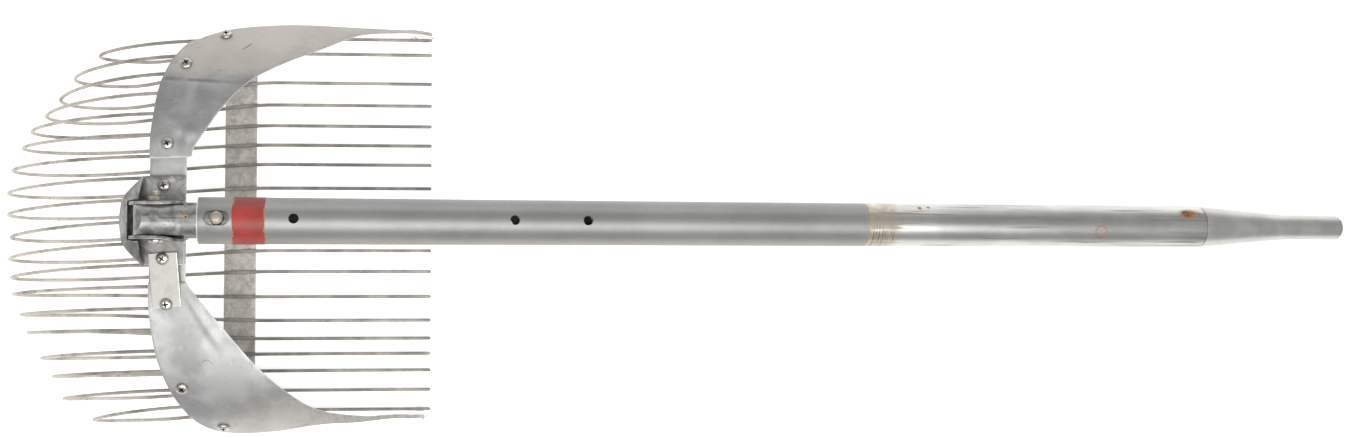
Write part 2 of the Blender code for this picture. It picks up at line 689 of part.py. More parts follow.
def main():
    clear_scene()
    sheet = make_material("sheet_aluminium", (0.62, 0.63, 0.62), 0.38, 1)
    grey = make_material("grey_coat", (0.40, 0.41, 0.40), 0.45, 0.6)
    bare = make_material("bare_aluminium", (0.70, 0.70, 0.68), 0.32, 1)
    wire = make_material("tine_wire", (0.45, 0.42, 0.38), 0.45, 1)
    steel = make_material("bright_steel", (0.66, 0.65, 0.62), 0.28, 1)
    dark = make_material("dark_steel", (0.32, 0.31, 0.29), 0.5, 1)
    red = make_material("red_paint", (0.50, 0.06, 0.045), 0.5, 0)
    rust = make_material("rusty_steel", (0.35, 0.20, 0.10), 0.8, 0.3)
    plate_white = make_material("plate_face", (0.72, 0.71, 0.67), 0.5, 0.2)
    build_head(sheet, wire, steel, dark, plate_white)
    build_handle(grey, bare, steel, red, rust)


main()
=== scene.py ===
"""Scoop rake: a basket of bent wire tines under two sheet side plates, on a hinged tubular handle."""
from math import atan, asin, cos, hypot, pi, radians, sin, sqrt

import bmesh
import bpy
from bpy.props import FloatProperty, FloatVectorProperty, IntProperty, PointerProperty
from mathutils import Matrix, Vector, noise


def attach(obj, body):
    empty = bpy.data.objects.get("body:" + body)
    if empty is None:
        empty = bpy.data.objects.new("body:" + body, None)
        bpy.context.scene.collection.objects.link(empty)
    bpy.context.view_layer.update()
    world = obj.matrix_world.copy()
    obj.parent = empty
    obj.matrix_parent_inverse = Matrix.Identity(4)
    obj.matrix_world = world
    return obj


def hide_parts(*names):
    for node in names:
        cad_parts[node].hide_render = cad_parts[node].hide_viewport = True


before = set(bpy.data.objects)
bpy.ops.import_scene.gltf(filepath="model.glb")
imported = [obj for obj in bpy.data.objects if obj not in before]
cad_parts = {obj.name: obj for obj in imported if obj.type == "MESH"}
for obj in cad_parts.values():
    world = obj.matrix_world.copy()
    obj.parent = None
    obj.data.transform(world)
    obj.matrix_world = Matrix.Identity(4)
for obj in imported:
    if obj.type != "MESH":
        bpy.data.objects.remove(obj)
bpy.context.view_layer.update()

bl_info = {
    "name": "Scoop rake",
    "version": (1, 0, 0),
    "blender": (4, 5, 0),
    "location": "View3D > Sidebar > Scoop rake",
    "description": "Makes the pieces and finishes of a long-handled scoop rake on its packed frame",
    "category": "Object",
}

MM = 0.001
GAP = 0.0003

# Basket
TINE_COUNT = 19
STRAP_THICKNESS = 0.0016
STRAP_HALF_WIDTH = 0.011
STRAP_ENDS = (-0.136, 0.133)
TIP_X = 0.134
TIP_PITCH = 0.0148
LOOP_PITCH = 0.0144
TOP_PITCH = 0.0140
LOOP_SHIFT = -0.007
APEX_X = -0.147
APEX_SWEEP = 0.38
LOOP_FOOT = 0.028
APEX_HEIGHT = 0.3
TOP_CURVE_POWER = 1.6
BEND_START = 0.025
TIP_BEND_MM = (1, 5, -1, -2, -2, -1, 0, -2, -2, -2, -2, -2, -5, -7, -5, -1, 2, 3, 4)
LOOP_BEND_MM = (-7.5, -10.6, -11.8, -8.2, -3.9, -0.4, -1.6, -2.9, -3.1, -4.5, -4.7, -2.7, 1, 1.6,
                4.3, 0.4, 2.5, 1, 0)
LOOP_REACH_MM = (-1.6, 1.6, -0.2, -0.4, 1.6, 1.6, 3.9, 3.7, 2.2, -0.4, 1, 1.2, 2.4, 1.2, 2.4, 0.8,
                 2.2, 6.3, -0.6)

# Arch that the top band and the side plates follow
ARCH_TOP = 0.097
ARCH_HALF_WIDTH = 0.144
ARCH_POWER = 3
ARCH_TAPER_START = 0.022
ARCH_TAPER_LENGTH = 0.128
ARCH_TAPER = 0.925
BAND_CENTRE_X = -0.0265
BAND_SWEEP = 0.030
BAND_HALF_WIDTH = 0.0115
BAND_THICKNESS = 0.0015
BAND_SWEEP_END = 0.1255
BAND_ENDS = (-0.1362, 0.1252)
BAND_END_CUT = 0.014
PLATE_THICKNESS = 0.001
PLATE_LIFT = BAND_THICKNESS + 0.0007

# Side plate outlines in plan, in millimetres: rear and outer edge, then front and inner edge
LEFT_REAR = ((-38, 40), (-38, 56), (-35, 79), (-29, 99), (-17, 116), (4, 126), (38, 131),
             (76, 134), (108, 136), (122, 137), (134, 136))
LEFT_FRONT = ((-14, 41), (-5, 56), (7, 74), (23, 91), (43, 104), (66, 117), (86, 129),
              (108, 133.4), (122, 134.4), (134, 133.6))
RIGHT_REAR = ((-38, -39), (-38, -55), (-35, -82), (-28, -107), (-15, -129), (3, -138),
              (32, -137.6), (62, -134), (86, -134), (108, -133.2), (130, -134.4))
RIGHT_FRONT = ((-15, -39), (-4, -53), (9, -69), (26, -90), (44, -109), (64, -124), (90, -130),
               (108, -130.4), (130, -131.6))

# Hinge and handle, measured along the handle's axis from the hinge
HINGE = Vector((-0.029, 0, 0.117))
EAR_OUTER = 0.01175
SHANK_RADIUS = 0.0114
SHANK_CHEEK = 0.0094
SHANK_ROUND = 0.0135
SHANK_SHOULDER = 0.018
SHANK_LENGTH = 0.068
BOLT_RADIUS = 0.0025
BOLT_HOLE_RADIUS = 0.0028
TUBE_RADIUS = 0.015
TUBE_BORE = 0.0117
TUBE_START = 0.0254
TUBE_END = 0.727
ROLL = radians(5)
SLOT_X = 0.0375
SLOT_RADIUS = 0.0047
SLOT_HALF_TRAVEL = 0.003
HOLE_RADIUS = 0.0032
HOLES = ((0.0844, 0, 1), (0.2245, radians(4), 2), (0.2726, radians(8), 2))
RED_BAND = (0.0468, 0.0668)
COAT_END = 0.469
END_TAPER_END = 0.796
END_RADIUS = 0.00895
END_ROUND = 0.002
HANDLE_REACH = 0.8436
PLUG_LENGTH = 0.030
PIN_X = 0.711
PIN_ROLL = radians(39)
PIN_RADIUS = 0.0025
BUTTON_RADIUS = 0.0042
BUTTON_TOP = 0.0166
BUTTON_FOOT_RADIUS = 0.0052
BUTTON_FOOT = (0.0027, 0.0043)
SLOPE = asin(HINGE.z / hypot(HANDLE_REACH - END_ROUND, END_RADIUS)) \
    - atan(END_RADIUS / (HANDLE_REACH - END_ROUND))
HANDLE = Matrix.Translation(HINGE) @ Matrix.Rotation(SLOPE, 4, 'Y')
ROLLED = HANDLE @ Matrix.Rotation(-ROLL, 4, 'X')

# Screws: x, y, height of the seat over the band's underside, tilt about X (None is square to the
# arch), turn of the cross recess
PLATE_TILT = radians(6.8)
SCREWS = {
    "bracket_left": (-0.0281, 0.0228, 0.0048, 0, 0.25),
    "bracket_right": (-0.0283, -0.0233, 0.0065, PLATE_TILT, 0.95),
    "plate_left_inner": (-0.0268, 0.0497, 0.0034, None, 0.45),
    "plate_right_inner": (-0.0265, -0.0527, 0.0045, PLATE_TILT, 0.1),
    "plate_left_middle": (-0.0185, 0.1020, 0.0034, None, 0.6),
    "plate_right_middle": (-0.0195, -0.1065, 0.0034, None, 0.75),
    "plate_left_outer": (0.0040, 0.1222, 0.0034, None, 0.3),
    "plate_right_outer": (0.0020, -0.1330, 0.0034, None, 1.2),
}
SCREW_RADIUS = 0.0015
SCREW_HOLE = 0.0019
SCREW_HEAD = 0.0039
SCREW_TAIL = -0.0040
NUT_THICKNESS = 0.0024
NUT_ACROSS = 0.0064
NUT_DROP = 0.0008


# ---------------------------------------------------------------- node trees

class Value:
    """A socket whose value changes over a surface. Arithmetic on it adds Math nodes."""

    def __init__(self, tree, socket):
        self.tree = tree
        self.socket = socket

    def output(self, key):
        """Another output of the same node."""
        return Value(self.tree, self.socket.node.outputs[key])

    def math(self, operation, *others):
        return self.tree.node('ShaderNodeMath', {"operation": operation},
                              dict(enumerate((self, *others))))

    def __add__(self, other):
        return self.math('ADD', other)

    __radd__ = __add__

    def __sub__(self, other):
        return self.math('SUBTRACT', other)

    def __rsub__(self, other):
        return self.tree.node('ShaderNodeMath', {"operation": 'SUBTRACT'}, {0: other, 1: self})

    def __mul__(self, other):
        return self.math('MULTIPLY', other)

    __rmul__ = __mul__

    def __truediv__(self, other):
        return self.math('DIVIDE', other)

    def __pow__(self, other):
        return self.math('POWER', other)


class NodeTree:
    """Adds nodes to a shader or geometry tree."""

    def __init__(self, tree):
        self.tree = tree

    def node(self, kind, settings=(), sockets=(), output=0):
        """One node: its settings first, then its sockets' values or links. Returns an output."""
        made = self.tree.nodes.new(kind)
        for name, value in dict(settings).items():
            if name == "stops":
                self.set_stops(made.color_ramp, value)
            else:
                setattr(made, name, value)
        for key, value in dict(sockets).items():
            if isinstance(value, Value):
                self.tree.links.new(value.socket, made.inputs[key])
            else:
                made.inputs[key].default_value = value
        return Value(self, made.outputs[output]) if made.outputs else None

    @staticmethod
    def set_stops(ramp, stops):
        while len(ramp.elements) < len(stops):
            ramp.elements.new(1)
        for element, (position, colour) in zip(ramp.elements, stops):
            element.position = position
            element.color = (*colour, 1)


class Finish(NodeTree):
    """A material being made, with the masks that the finishes share."""

    def __init__(self, name):
        self.material = bpy.data.materials.new(name)
        self.material.use_nodes = True
        super().__init__(self.material.node_tree)
        self.tree.nodes.clear()

    def place(self, origin=(0, 0, 0), turn=(0, 0, 0)):
        """Object coordinates seen from a frame, in metres."""
        coordinates = self.node('ShaderNodeTexCoord', output="Object")
        return self.node('ShaderNodeMapping', {"vector_type": 'TEXTURE'},
                         {"Vector": coordinates, "Location": origin, "Rotation": turn})

    def stretch(self, vector, scale, turn=(0, 0, 0)):
        return self.node('ShaderNodeMapping', {},
                         {"Vector": vector, "Scale": scale, "Rotation": turn})

    def xyz(self, vector):
        x = self.node('ShaderNodeSeparateXYZ', {}, {0: vector})
        return x, x.output(1), x.output(2)

    def noise(self, vector, scale, detail=3, rough=0.5, warp=0):
        return self.node('ShaderNodeTexNoise', {}, {
            "Vector": vector, "Scale": scale, "Detail": detail, "Roughness": rough,
            "Distortion": warp})

    def rise(self, value, start, end):
        """0 before start, 1 after end, smooth between."""
        return self.node('ShaderNodeMapRange', {"interpolation_type": 'SMOOTHSTEP'},
                         {0: value, 1: start, 2: end, 3: 0.0, 4: 1.0})

    def between(self, value, low, high, soft):
        return self.rise(value, low - soft, low + soft) \
            * (1 - self.rise(value, high - soft, high + soft))

    def spot(self, vector, centre, size):
        """1 at a point, falling to 0 at a distance."""
        away = self.node('ShaderNodeVectorMath', {"operation": 'DISTANCE'},
                         {0: vector, 1: centre}, "Value")
        return 1 - self.rise(away, size * 0.35, size)

    def mix(self, mask, first, second, blend='MIX'):
        first, second = ((*c, 1) if isinstance(c, tuple) else c for c in (first, second))
        return self.node('ShaderNodeMix', {"data_type": 'RGBA', "blend_type": blend},
                         {0: mask, 6: first, 7: second}, 2)

    def ramp(self, value, *stops):
        return self.node('ShaderNodeValToRGB', {"stops": stops}, {0: value})

    def bump(self, height, strength, distance, under=None):
        sockets = {"Height": height, "Strength": strength, "Distance": distance}
        if under is not None:
            sockets["Normal"] = under
        return self.node('ShaderNodeBump', {}, sockets)

    def done(self, **sockets):
        """The shader and the output. Names are the shader's sockets with _ for a space."""
        values = {name.replace("_", " "): (*value, 1) if isinstance(value, tuple) else value
                  for name, value in sockets.items()}
        shader = self.node('ShaderNodeBsdfPrincipled', {}, values)
        self.node('ShaderNodeOutputMaterial', {}, {0: shader})
        return self.material


# ---------------------------------------------------------------- finishes

HANDLE_TURN = (0, SLOPE, 0)


def on_tube(along, angle, radius=TUBE_RADIUS):
    """A point on the tube's skin, in the handle's frame. The angle is from the top towards +Y."""
    return (along, radius * sin(radians(angle)), radius * cos(radians(angle)))


def edge_wear(finish, radius):
    """1 where an outer edge turns sharply within the radius."""
    rounded = finish.node('ShaderNodeBevel', {"samples": 4}, {"Radius": radius})
    flat = finish.node('ShaderNodeNewGeometry', output="Normal")
    same = finish.node('ShaderNodeVectorMath', {"operation": 'DOT_PRODUCT'},
                       {0: rounded, 1: flat}, "Value")
    return finish.rise(1 - same, 0.01, 0.12)


def tine_finish(colour):
    """Warm grey wire, paler at the loops, with brown specks and a fine drawn grain."""
    f = Finish("tine wire")
    place = f.place()
    x = f.xyz(place)[0]
    tint = f.noise(place, 55, 4, 0.6)
    fine = f.noise(place, 1400, 2, 0.6)
    loops = f.rise(x, -0.03, -0.11)
    dark = tuple(c * 0.55 for c in colour)
    pale = tuple(min(c * 1.6, 1) for c in colour)
    body = f.mix(f.rise(tint, 0.35, 0.68), dark, colour)
    body = f.mix(loops * f.rise(tint, 0.25, 0.55) * 0.9, body, pale)
    specks = f.rise(f.noise(place, 420, 3, 0.7), 0.62, 0.7) * f.rise(x, 0.05, -0.06)
    body = f.mix(specks * 0.75, body, (0.16, 0.08, 0.035))
    body = f.mix(f.rise(fine, 0.45, 0.8) * 0.35, body, dark)
    bump = f.bump(fine + specks, 0.35, 0.00012)
    return f.done(Base_Color=body, Roughness=0.42 + fine * 0.25, Metallic=0.5 - specks * 0.4,
                  Normal=bump)


def strap_finish(colour):
    """Mottled, grainy steel strap with brown blots, rust specks and lighter edges."""
    f = Finish("strap steel")
    place = f.place()
    x = f.xyz(place)[0]
    mottle = f.noise(place, 160, 5, 0.65, 0.6)
    grain = f.noise(f.stretch(place, (1, 2.2, 1)), 900, 3, 0.65)
    blots = f.noise(place, 45, 3, 0.6)
    body = f.mix(f.rise(mottle, 0.3, 0.7), tuple(c * 0.62 for c in colour), colour)
    body = f.mix(f.rise(grain, 0.5, 0.72) * 0.5, body, tuple(min(c * 1.7, 1) for c in colour))
    body = f.mix(f.rise(blots, 0.55, 0.75) * 0.45, body, (0.27, 0.21, 0.145))
    rust = f.rise(f.noise(place, 330, 2, 0.6), 0.71, 0.75)
    body = f.mix(rust * 0.8, body, (0.22, 0.10, 0.04))
    edge = f.rise(x.math('ABSOLUTE'), STRAP_HALF_WIDTH - 0.0007, STRAP_HALF_WIDTH - 0.0001)
    body = f.mix(edge * 0.5, body, (0.62, 0.60, 0.56))
    bump = f.bump(mottle * 0.6 + grain, 0.5, 0.00018)
    return f.done(Base_Color=body, Roughness=0.5 + grain * 0.3, Metallic=0.45 - rust * 0.4,
                  Normal=bump)


def sheet_finish(colour, tan):
    """Satin aluminium sheet: soft blotches, scuffs, a stained outer end and bright cut edges, which
    are bare metal and partly a painted highlight.
    """
    f = Finish("satin aluminium sheet")
    place = f.place()
    x, y = f.xyz(place)[:2]
    rim = f.node('ShaderNodeAttribute', {"attribute_name": "rim"}, output="Fac")
    blotch = f.noise(place, 34, 4, 0.55, 0.5)
    cloud = f.noise(place, 95, 4, 0.6, 0.3)
    fine = f.noise(place, 1100, 2, 0.6)
    streak_along = f.stretch(place, (1, 0.11, 0.11), (0, 0, radians(47)))
    streak = f.noise(streak_along, 620, 3, 0.6)
    scuff = f.noise(f.stretch(place, (0.16, 1, 1), (0, 0, radians(20))), 520, 2, 0.7)
    dark = tuple(c * 0.66 for c in colour)
    body = f.mix(f.rise(blotch, 0.34, 0.66), dark, colour)
    body = f.mix(f.rise(cloud, 0.55, 0.8) * 0.5, body, tuple(min(c * 1.25, 1) for c in colour))
    left = f.rise(y, 0, 0.001)
    outer_left = f.rise(y + blotch * 0.012, 0.097, 0.108)
    shade = f.rise(y, 0.055, 0.094) * (1 - f.rise(y, 0.094, 0.112)) * left
    body = f.mix(shade * 0.20, body, tuple(c * 0.5 for c in colour))
    body = f.mix(outer_left * 0.7, body, tan)
    outer_right = f.rise(y, -0.100, -0.132) * f.rise(x, -0.02, 0.05)
    body = f.mix(outer_right * 0.6, body, tan)
    body = f.mix(f.rise(x, 0.085, 0.125) * 0.45, body, (0.62, 0.58, 0.52))
    front_right = f.rise(x + (y + 0.039) * 0.93, -0.045, -0.012) * (1 - left)
    body = f.mix(front_right * f.rise(streak, 0.48, 0.68) * 0.55, body, dark)
    body = f.mix(f.rise(scuff, 0.66, 0.74) * 0.55, body, (0.20, 0.185, 0.16))
    # Painted shade: a dark line along the left plate's fold.
    crease = f.between(y + (x - 0.0) * 0.05, 0.0905, 0.0925, 0.0009) \
        * f.rise(x, 0.030, -0.005) * f.rise(cloud, 0.3, 0.55)
    body = f.mix(crease * 0.6, body, (0.16, 0.155, 0.145))
    scratch = f.between(y - x * 0.8, 0.1005, 0.1011, 0.0003) * f.between(x, 0.0165, 0.0215, 0.001)
    body = f.mix(scratch, body, (0.06, 0.05, 0.04))
    hook = (x + 0.0010) * (x + 0.0010) * 190 + x * 0.6
    brown = f.between(y + 0.0905 + hook, -0.0003, 0.0003, 0.0003) \
        * f.between(x, -0.0065, 0.0015, 0.0015) * f.rise(cloud, 0.3, 0.5)
    spots = f.spot(place, (-0.010, 0.073, 0.0935), 0.0014) \
        + f.spot(place, (0.016, -0.0945, 0.087), 0.0026) * f.rise(cloud, 0.42, 0.55)
    body = f.mix((brown + spots).math('MINIMUM', 1) * 0.65, body, (0.25, 0.13, 0.055))
    # Bright cut edges: bare metal, and partly a painted highlight along them.
    edge = 1 - f.rise(rim + cloud * 0.0006, 0.0004, 0.0011)
    body = f.mix(edge * 0.35, body, (0.66, 0.655, 0.64))
    grime = (1 - f.rise(rim, 0.0006, 0.004)) * (1 - edge) * f.rise(cloud, 0.45, 0.7)
    body = f.mix(grime * 0.5, body, (0.24, 0.22, 0.19))
    bump = f.bump(blotch, 0.35, 0.0012, f.bump(streak + fine * 0.5, 0.22, 0.0001))
    rough = 0.42 + cloud * 0.16 + fine * 0.08 + outer_left * 0.08
    return f.done(Base_Color=body, Roughness=rough, Metallic=0.82 - outer_left * 0.25,
                  Normal=bump)


def bracket_finish(colour):
    """Smoky grey plate with bright rubbed edges, darker towards -Y, and scratches."""
    f = Finish("smoky bracket sheet")
    place = f.place()
    smoke = f.noise(place, 110, 4, 0.62, 0.8)
    fine = f.noise(place, 1300, 2, 0.6)
    rub = f.noise(f.stretch(place, (1, 0.25, 0.6)), 420, 3, 0.65)
    wear = edge_wear(f, 0.0009)
    body = f.mix(f.rise(smoke, 0.3, 0.7), tuple(c * 0.36 for c in colour), colour)
    body = f.mix(f.rise(rub, 0.58, 0.74) * 0.6, body, (0.10, 0.095, 0.085))
    body = f.mix(f.rise(rub, 0.30, 0.22) * 0.5, body, (0.50, 0.50, 0.48))
    y = f.xyz(place)[1]
    # The bracket darker over its -Y side.
    darker_side = f.rise(y + (smoke - 0.5) * 0.008, -0.006, -0.013)
    body = f.mix(darker_side * 0.55, body, (0.085, 0.083, 0.078))
    body = f.mix(wear * f.rise(smoke, 0.35, 0.6) * 0.8, body, (0.70, 0.69, 0.66))
    bump = f.bump(rub + fine * 0.4, 0.3, 0.00015)
    return f.done(Base_Color=body, Roughness=0.38 + smoke * 0.25 - wear * 0.1, Metallic=0.80,
                  Normal=bump)


# places on the tube, as a distance from the hinge and an angle round it in degrees
RUST_SPOTS = ((0.507, 51, 0.0022), (0.5135, 54, 0.0016))
RUST_PATCH = (0.714, 37, 0.0062)
SCRATCHED_PATCH = (0.7145, -40, 0.0088)
PATCH_STRETCH = 0.55
RING_STAIN = (0.6425, -17)
RESIDUE = (0.4685, 0.489)
TOOL_MARKS = (0.471, 0.487)
BUTTON_GRIME = (0.0305, 0.0450)


def coat_finish(coat, bare):
    """The tube: grey satin coat, a ragged stained end to it, then scuffed bare metal."""
    f = Finish("handle coat")
    place = f.place(HINGE, HANDLE_TURN)
    x, y, z = f.xyz(place)
    angle = y.math('ARCTAN2', z)
    blotch = f.noise(place, 26, 4, 0.55, 0.3)
    cloud = f.noise(place, 140, 4, 0.6)
    sparkle = f.noise(place, 2200, 2, 0.7)
    long_marks = f.noise(f.stretch(place, (0.035, 1, 1)), 330, 3, 0.6)
    ring_marks = f.noise(f.stretch(place, (1, 0.05, 0.05)), 1500, 3, 0.6)

    grey = f.mix(f.rise(blotch, 0.3, 0.7), tuple(c * 0.86 for c in coat), coat)
    grey = f.mix(f.rise(sparkle, 0.56, 0.74) * 0.4, grey, tuple(min(c * 1.7, 1) for c in coat))
    grey = f.mix(f.rise(cloud, 0.62, 0.76) * 0.35, grey, (0.20, 0.19, 0.165))
    grey = f.mix(f.rise(long_marks, 0.68, 0.74) * 0.5, grey, (0.13, 0.125, 0.11))
    low_side = f.rise(angle, radians(-35), radians(-85))
    grey = f.mix(low_side * 0.45, grey, (0.33, 0.28, 0.20))

    metal = f.mix(f.rise(blotch, 0.35, 0.7), tuple(c * 0.8 for c in bare), bare)
    scuffs = f.rise(long_marks + blotch * 0.18, 0.64, 0.72)
    metal = f.mix(scuffs * 0.7, metal, (0.24, 0.225, 0.20))
    metal = f.mix(f.rise(ring_marks, 0.62, 0.72) * 0.35, metal, (0.30, 0.29, 0.27))
    ragged = COAT_END + (cloud - 0.5) * 0.006
    stripped = f.rise(x - ragged, -0.0005, 0.0005)
    body = f.mix(stripped, grey, metal)

    residue = f.between(x, *RESIDUE, 0.004) * f.rise(cloud, 0.30, 0.55)
    body = f.mix(residue * 0.6, body, (0.34, 0.26, 0.17))
    tool_marks = f.between(x, *TOOL_MARKS, 0.002) * f.rise(ring_marks, 0.52, 0.60) \
        * f.rise(angle, radians(10), radians(-30))
    body = f.mix(tool_marks * 0.85, body, (0.10, 0.085, 0.065))

    near, far = (f.spot(place, on_tube(x_at, turn), size) for x_at, turn, size in RUST_SPOTS)
    patch_at = f.stretch(place, (PATCH_STRETCH, 1, 1))
    patch, scratched = (
        f.spot(patch_at, (x_at * PATCH_STRETCH, *on_tube(0, turn)[1:]), size)
        for x_at, turn, size in (RUST_PATCH, SCRATCHED_PATCH))
    rust = (near + far + patch) * f.rise(cloud, 0.34, 0.5)
    ring_from = f.node('ShaderNodeVectorMath', {"operation": 'DISTANCE'},
                       {0: place, 1: on_tube(*RING_STAIN)}, "Value")
    ring = f.between(ring_from + cloud * 0.001, 0.0043, 0.0053, 0.0006)
    body = f.mix(ring * 0.75, body, (0.52, 0.24, 0.08))
    hatch = f.rise((x * 5200 + angle * 3).math('SINE'), 0.3, 0.8) * scratched
    body = f.mix(hatch * 0.55, body, (0.12, 0.105, 0.085))
    body = f.mix(rust.math('MINIMUM', 1), body, (0.27, 0.115, 0.04))

    mouth = 1 - f.rise(x + cloud * 0.0006, TUBE_START + 0.0006, TUBE_START + 0.0012)
    body = f.mix(mouth * 0.9, body, (0.80, 0.79, 0.75))
    grime = f.between(x, *BUTTON_GRIME, 0.0015) * f.rise(cloud, 0.45, 0.62) \
        * (1 - f.rise(y.math('ABSOLUTE'), 0.006, 0.0085)) * f.rise(z, 0, 0.004)
    body = f.mix(grime * 0.6, body, (0.17, 0.15, 0.125))
    seam = f.rise(x, TUBE_END - 0.0012, TUBE_END - 0.0002)
    body = f.mix(seam * 0.6, body, (0.16, 0.13, 0.10))

    rusty = rust.math('MINIMUM', 1)
    bump = f.bump(sparkle * (1 - stripped) + ring_marks * stripped * 1.4 + rusty * 2, 0.3, 0.00013)
    rough = 0.40 + cloud * 0.08 - stripped * 0.1 + scuffs * stripped * 0.2 + rusty * 0.4
    return f.done(Base_Color=body, Roughness=rough,
                  Metallic=0.55 + stripped * 0.42 - rusty * 0.75 - residue * 0.3, Normal=bump)


def fitting_finish(bare):
    """Bright turned end fitting with faint lathe rings and a little grime at the seam."""
    f = Finish("bare aluminium")
    place = f.place(HINGE, HANDLE_TURN)
    x = f.xyz(place)[0]
    blotch = f.noise(place, 60, 4, 0.6, 0.4)
    rings = f.noise(f.stretch(place, (1, 0.03, 0.03)), 2600, 2, 0.6)
    marks = f.noise(f.stretch(place, (0.08, 1, 1)), 420, 3, 0.6)
    body = f.mix(f.rise(blotch, 0.3, 0.72), tuple(c * 0.82 for c in bare), bare)
    body = f.mix(f.rise(marks, 0.66, 0.74) * 0.4, body, (0.28, 0.26, 0.23))
    seam = 1 - f.rise(x + blotch * 0.002, TUBE_END + 0.0008, TUBE_END + 0.0022)
    body = f.mix(seam * 0.7, body, (0.15, 0.12, 0.085))
    handled = f.rise(x, 0.792, 0.800) * f.rise(blotch, 0.5, 0.7)
    body = f.mix(handled * 0.3, body, (0.40, 0.37, 0.31))
    bump = f.bump(rings, 0.25, 0.00008)
    return f.done(Base_Color=body, Roughness=0.32 + blotch * 0.12 + seam * 0.3, Metallic=0.85,
                  Normal=bump)


def shank_finish(colour):
    """Cast grey shank with dark rub marks, red flecks at its rear and a rust chip by its hole."""
    f = Finish("shank aluminium")
    place = f.place(HINGE, HANDLE_TURN)
    x = f.xyz(place)[0]
    smoke = f.noise(place, 130, 5, 0.62, 0.7)
    fine = f.noise(place, 1200, 3, 0.65)
    rub = f.noise(f.stretch(place, (0.3, 1, 1)), 480, 3, 0.6)
    wear = edge_wear(f, 0.0008)
    body = f.mix(f.rise(smoke, 0.32, 0.66), tuple(c * 0.45 for c in colour), colour)
    body = f.mix(f.rise(rub, 0.6, 0.72) * 0.65, body, (0.075, 0.07, 0.06))
    body = f.mix(wear * f.rise(fine, 0.3, 0.5), body, (0.78, 0.77, 0.73))
    flecks = f.rise(f.noise(place, 700, 2, 0.6), 0.66, 0.7) * f.rise(x, -0.004, -0.009)
    body = f.mix(flecks * 0.9, body, (0.42, 0.07, 0.04))
    chip = f.spot(place, (0.0185, 0.0022, 0.0112), 0.0021) * f.rise(fine, 0.35, 0.5)
    body = f.mix(chip, body, (0.45, 0.24, 0.10))
    bump = f.bump(smoke + fine * 0.5, 0.35, 0.0002)
    return f.done(Base_Color=body, Roughness=0.38 + smoke * 0.22 - wear * 0.1,
                  Metallic=0.9 - flecks * 0.8 - chip * 0.7, Normal=bump)


def red_finish(colour):
    """Red band with painted shade darker towards +Y, rubbed through to a yellowish ground at its
    edges.
    """
    f = Finish("red band paint")
    place = f.place(HINGE, HANDLE_TURN)
    x, y = f.xyz(place)[:2]
    blotch = f.noise(place, 90, 4, 0.6, 0.5)
    fine = f.noise(place, 1500, 3, 0.7)
    body = f.mix(f.rise(blotch, 0.3, 0.75), tuple(c * 0.7 for c in colour), colour)
    # Painted shade: the band darker towards +Y.
    body = f.mix(f.rise(y, 0.004, 0.013) * 0.5, body, tuple(c * 0.45 for c in colour))
    start, end = RED_BAND
    near_end = (x - start).math('MINIMUM', end - x)
    ragged = (fine - 0.5) * 0.0022 + (blotch - 0.5) * 0.0060 + 0.0003
    rubbed = 1 - f.rise(near_end + ragged, 0.0, 0.0009)
    body = f.mix(rubbed * 0.75, body, (0.33, 0.235, 0.11))
    chips = f.rise(f.noise(place, 520, 3, 0.7), 0.69, 0.72)
    body = f.mix(chips * 0.6, body, (0.30, 0.20, 0.15))
    smear = f.rise(f.noise(f.stretch(place, (0.2, 1, 1)), 260, 3, 0.6), 0.6, 0.75)
    body = f.mix(smear * 0.35, body, (0.16, 0.05, 0.04))
    bump = f.bump(fine + chips * -1.5, 0.25, 0.00012)
    return f.done(Base_Color=body, Roughness=0.42 + blotch * 0.15 + rubbed * 0.2, Normal=bump)


def steel_finish(name, colour, dirt_and_shade):
    """Plated steel for screws, bolts and nuts: soft tarnish, and cross recesses painted near black as
    shade with dirt.
    """
    f = Finish(name)
    place = f.place()
    tarnish = f.noise(place, 260, 4, 0.6, 0.4)
    fine = f.noise(place, 1900, 2, 0.6)
    body = f.mix(f.rise(tarnish, 0.35, 0.7), colour, dirt_and_shade)
    body = f.mix(edge_wear(f, 0.0003) * 0.6, body, tuple(min(c * 1.35, 1) for c in colour))
    # The cross recess painted near black: painted shade, with dirt.
    recess = f.node('ShaderNodeAttribute', {"attribute_name": "recess"}, output="Fac")
    body = f.mix(recess, body, (0.035, 0.03, 0.025))
    bump = f.bump(fine, 0.2, 0.00006)
    return f.done(Base_Color=body, Roughness=0.26 + tarnish * 0.25, Metallic=1.0, Normal=bump)


def button_finish():
    """Domed steel button: bright crown, mottled tan ring, and a dark skirt at its edge that is
    painted shade.
    """
    f = Finish("button steel")
    middle = ROLLED @ Vector((SLOT_X, 0, 0))
    turn = ROLLED.to_euler('XYZ')
    place = f.place(middle, tuple(turn))
    x, y = f.xyz(place)[:2]
    away = (x * x + y * y).math('SQRT')
    mottle = f.noise(place, 900, 3, 0.65)
    ring = f.between(away + (mottle - 0.5) * 0.0016, 0.0019, 0.0036, 0.0004)
    body = f.mix(ring * 0.9, (0.56, 0.54, 0.50), (0.27, 0.215, 0.15))
    # Painted shade: the dark skirt round the dome's edge.
    body = f.mix(f.rise(away, 0.0036, 0.0042) * 0.8, body, (0.10, 0.085, 0.07))
    bump = f.bump(mottle, 0.4, 0.00015)
    return f.done(Base_Color=body, Roughness=0.28 + ring * 0.25, Metallic=0.95 - ring * 0.4,
                  Normal=bump)


def rust_finish(colour):
    f = Finish("rusty steel")
    place = f.place()
    scale = f.noise(place, 700, 4, 0.7, 0.5)
    body = f.mix(f.rise(scale, 0.3, 0.7), colour, (0.10, 0.055, 0.03))
    bump = f.bump(scale, 0.6, 0.0003)
    return f.done(Base_Color=body, Roughness=0.7 + scale * 0.2, Metallic=0.35, Normal=bump)


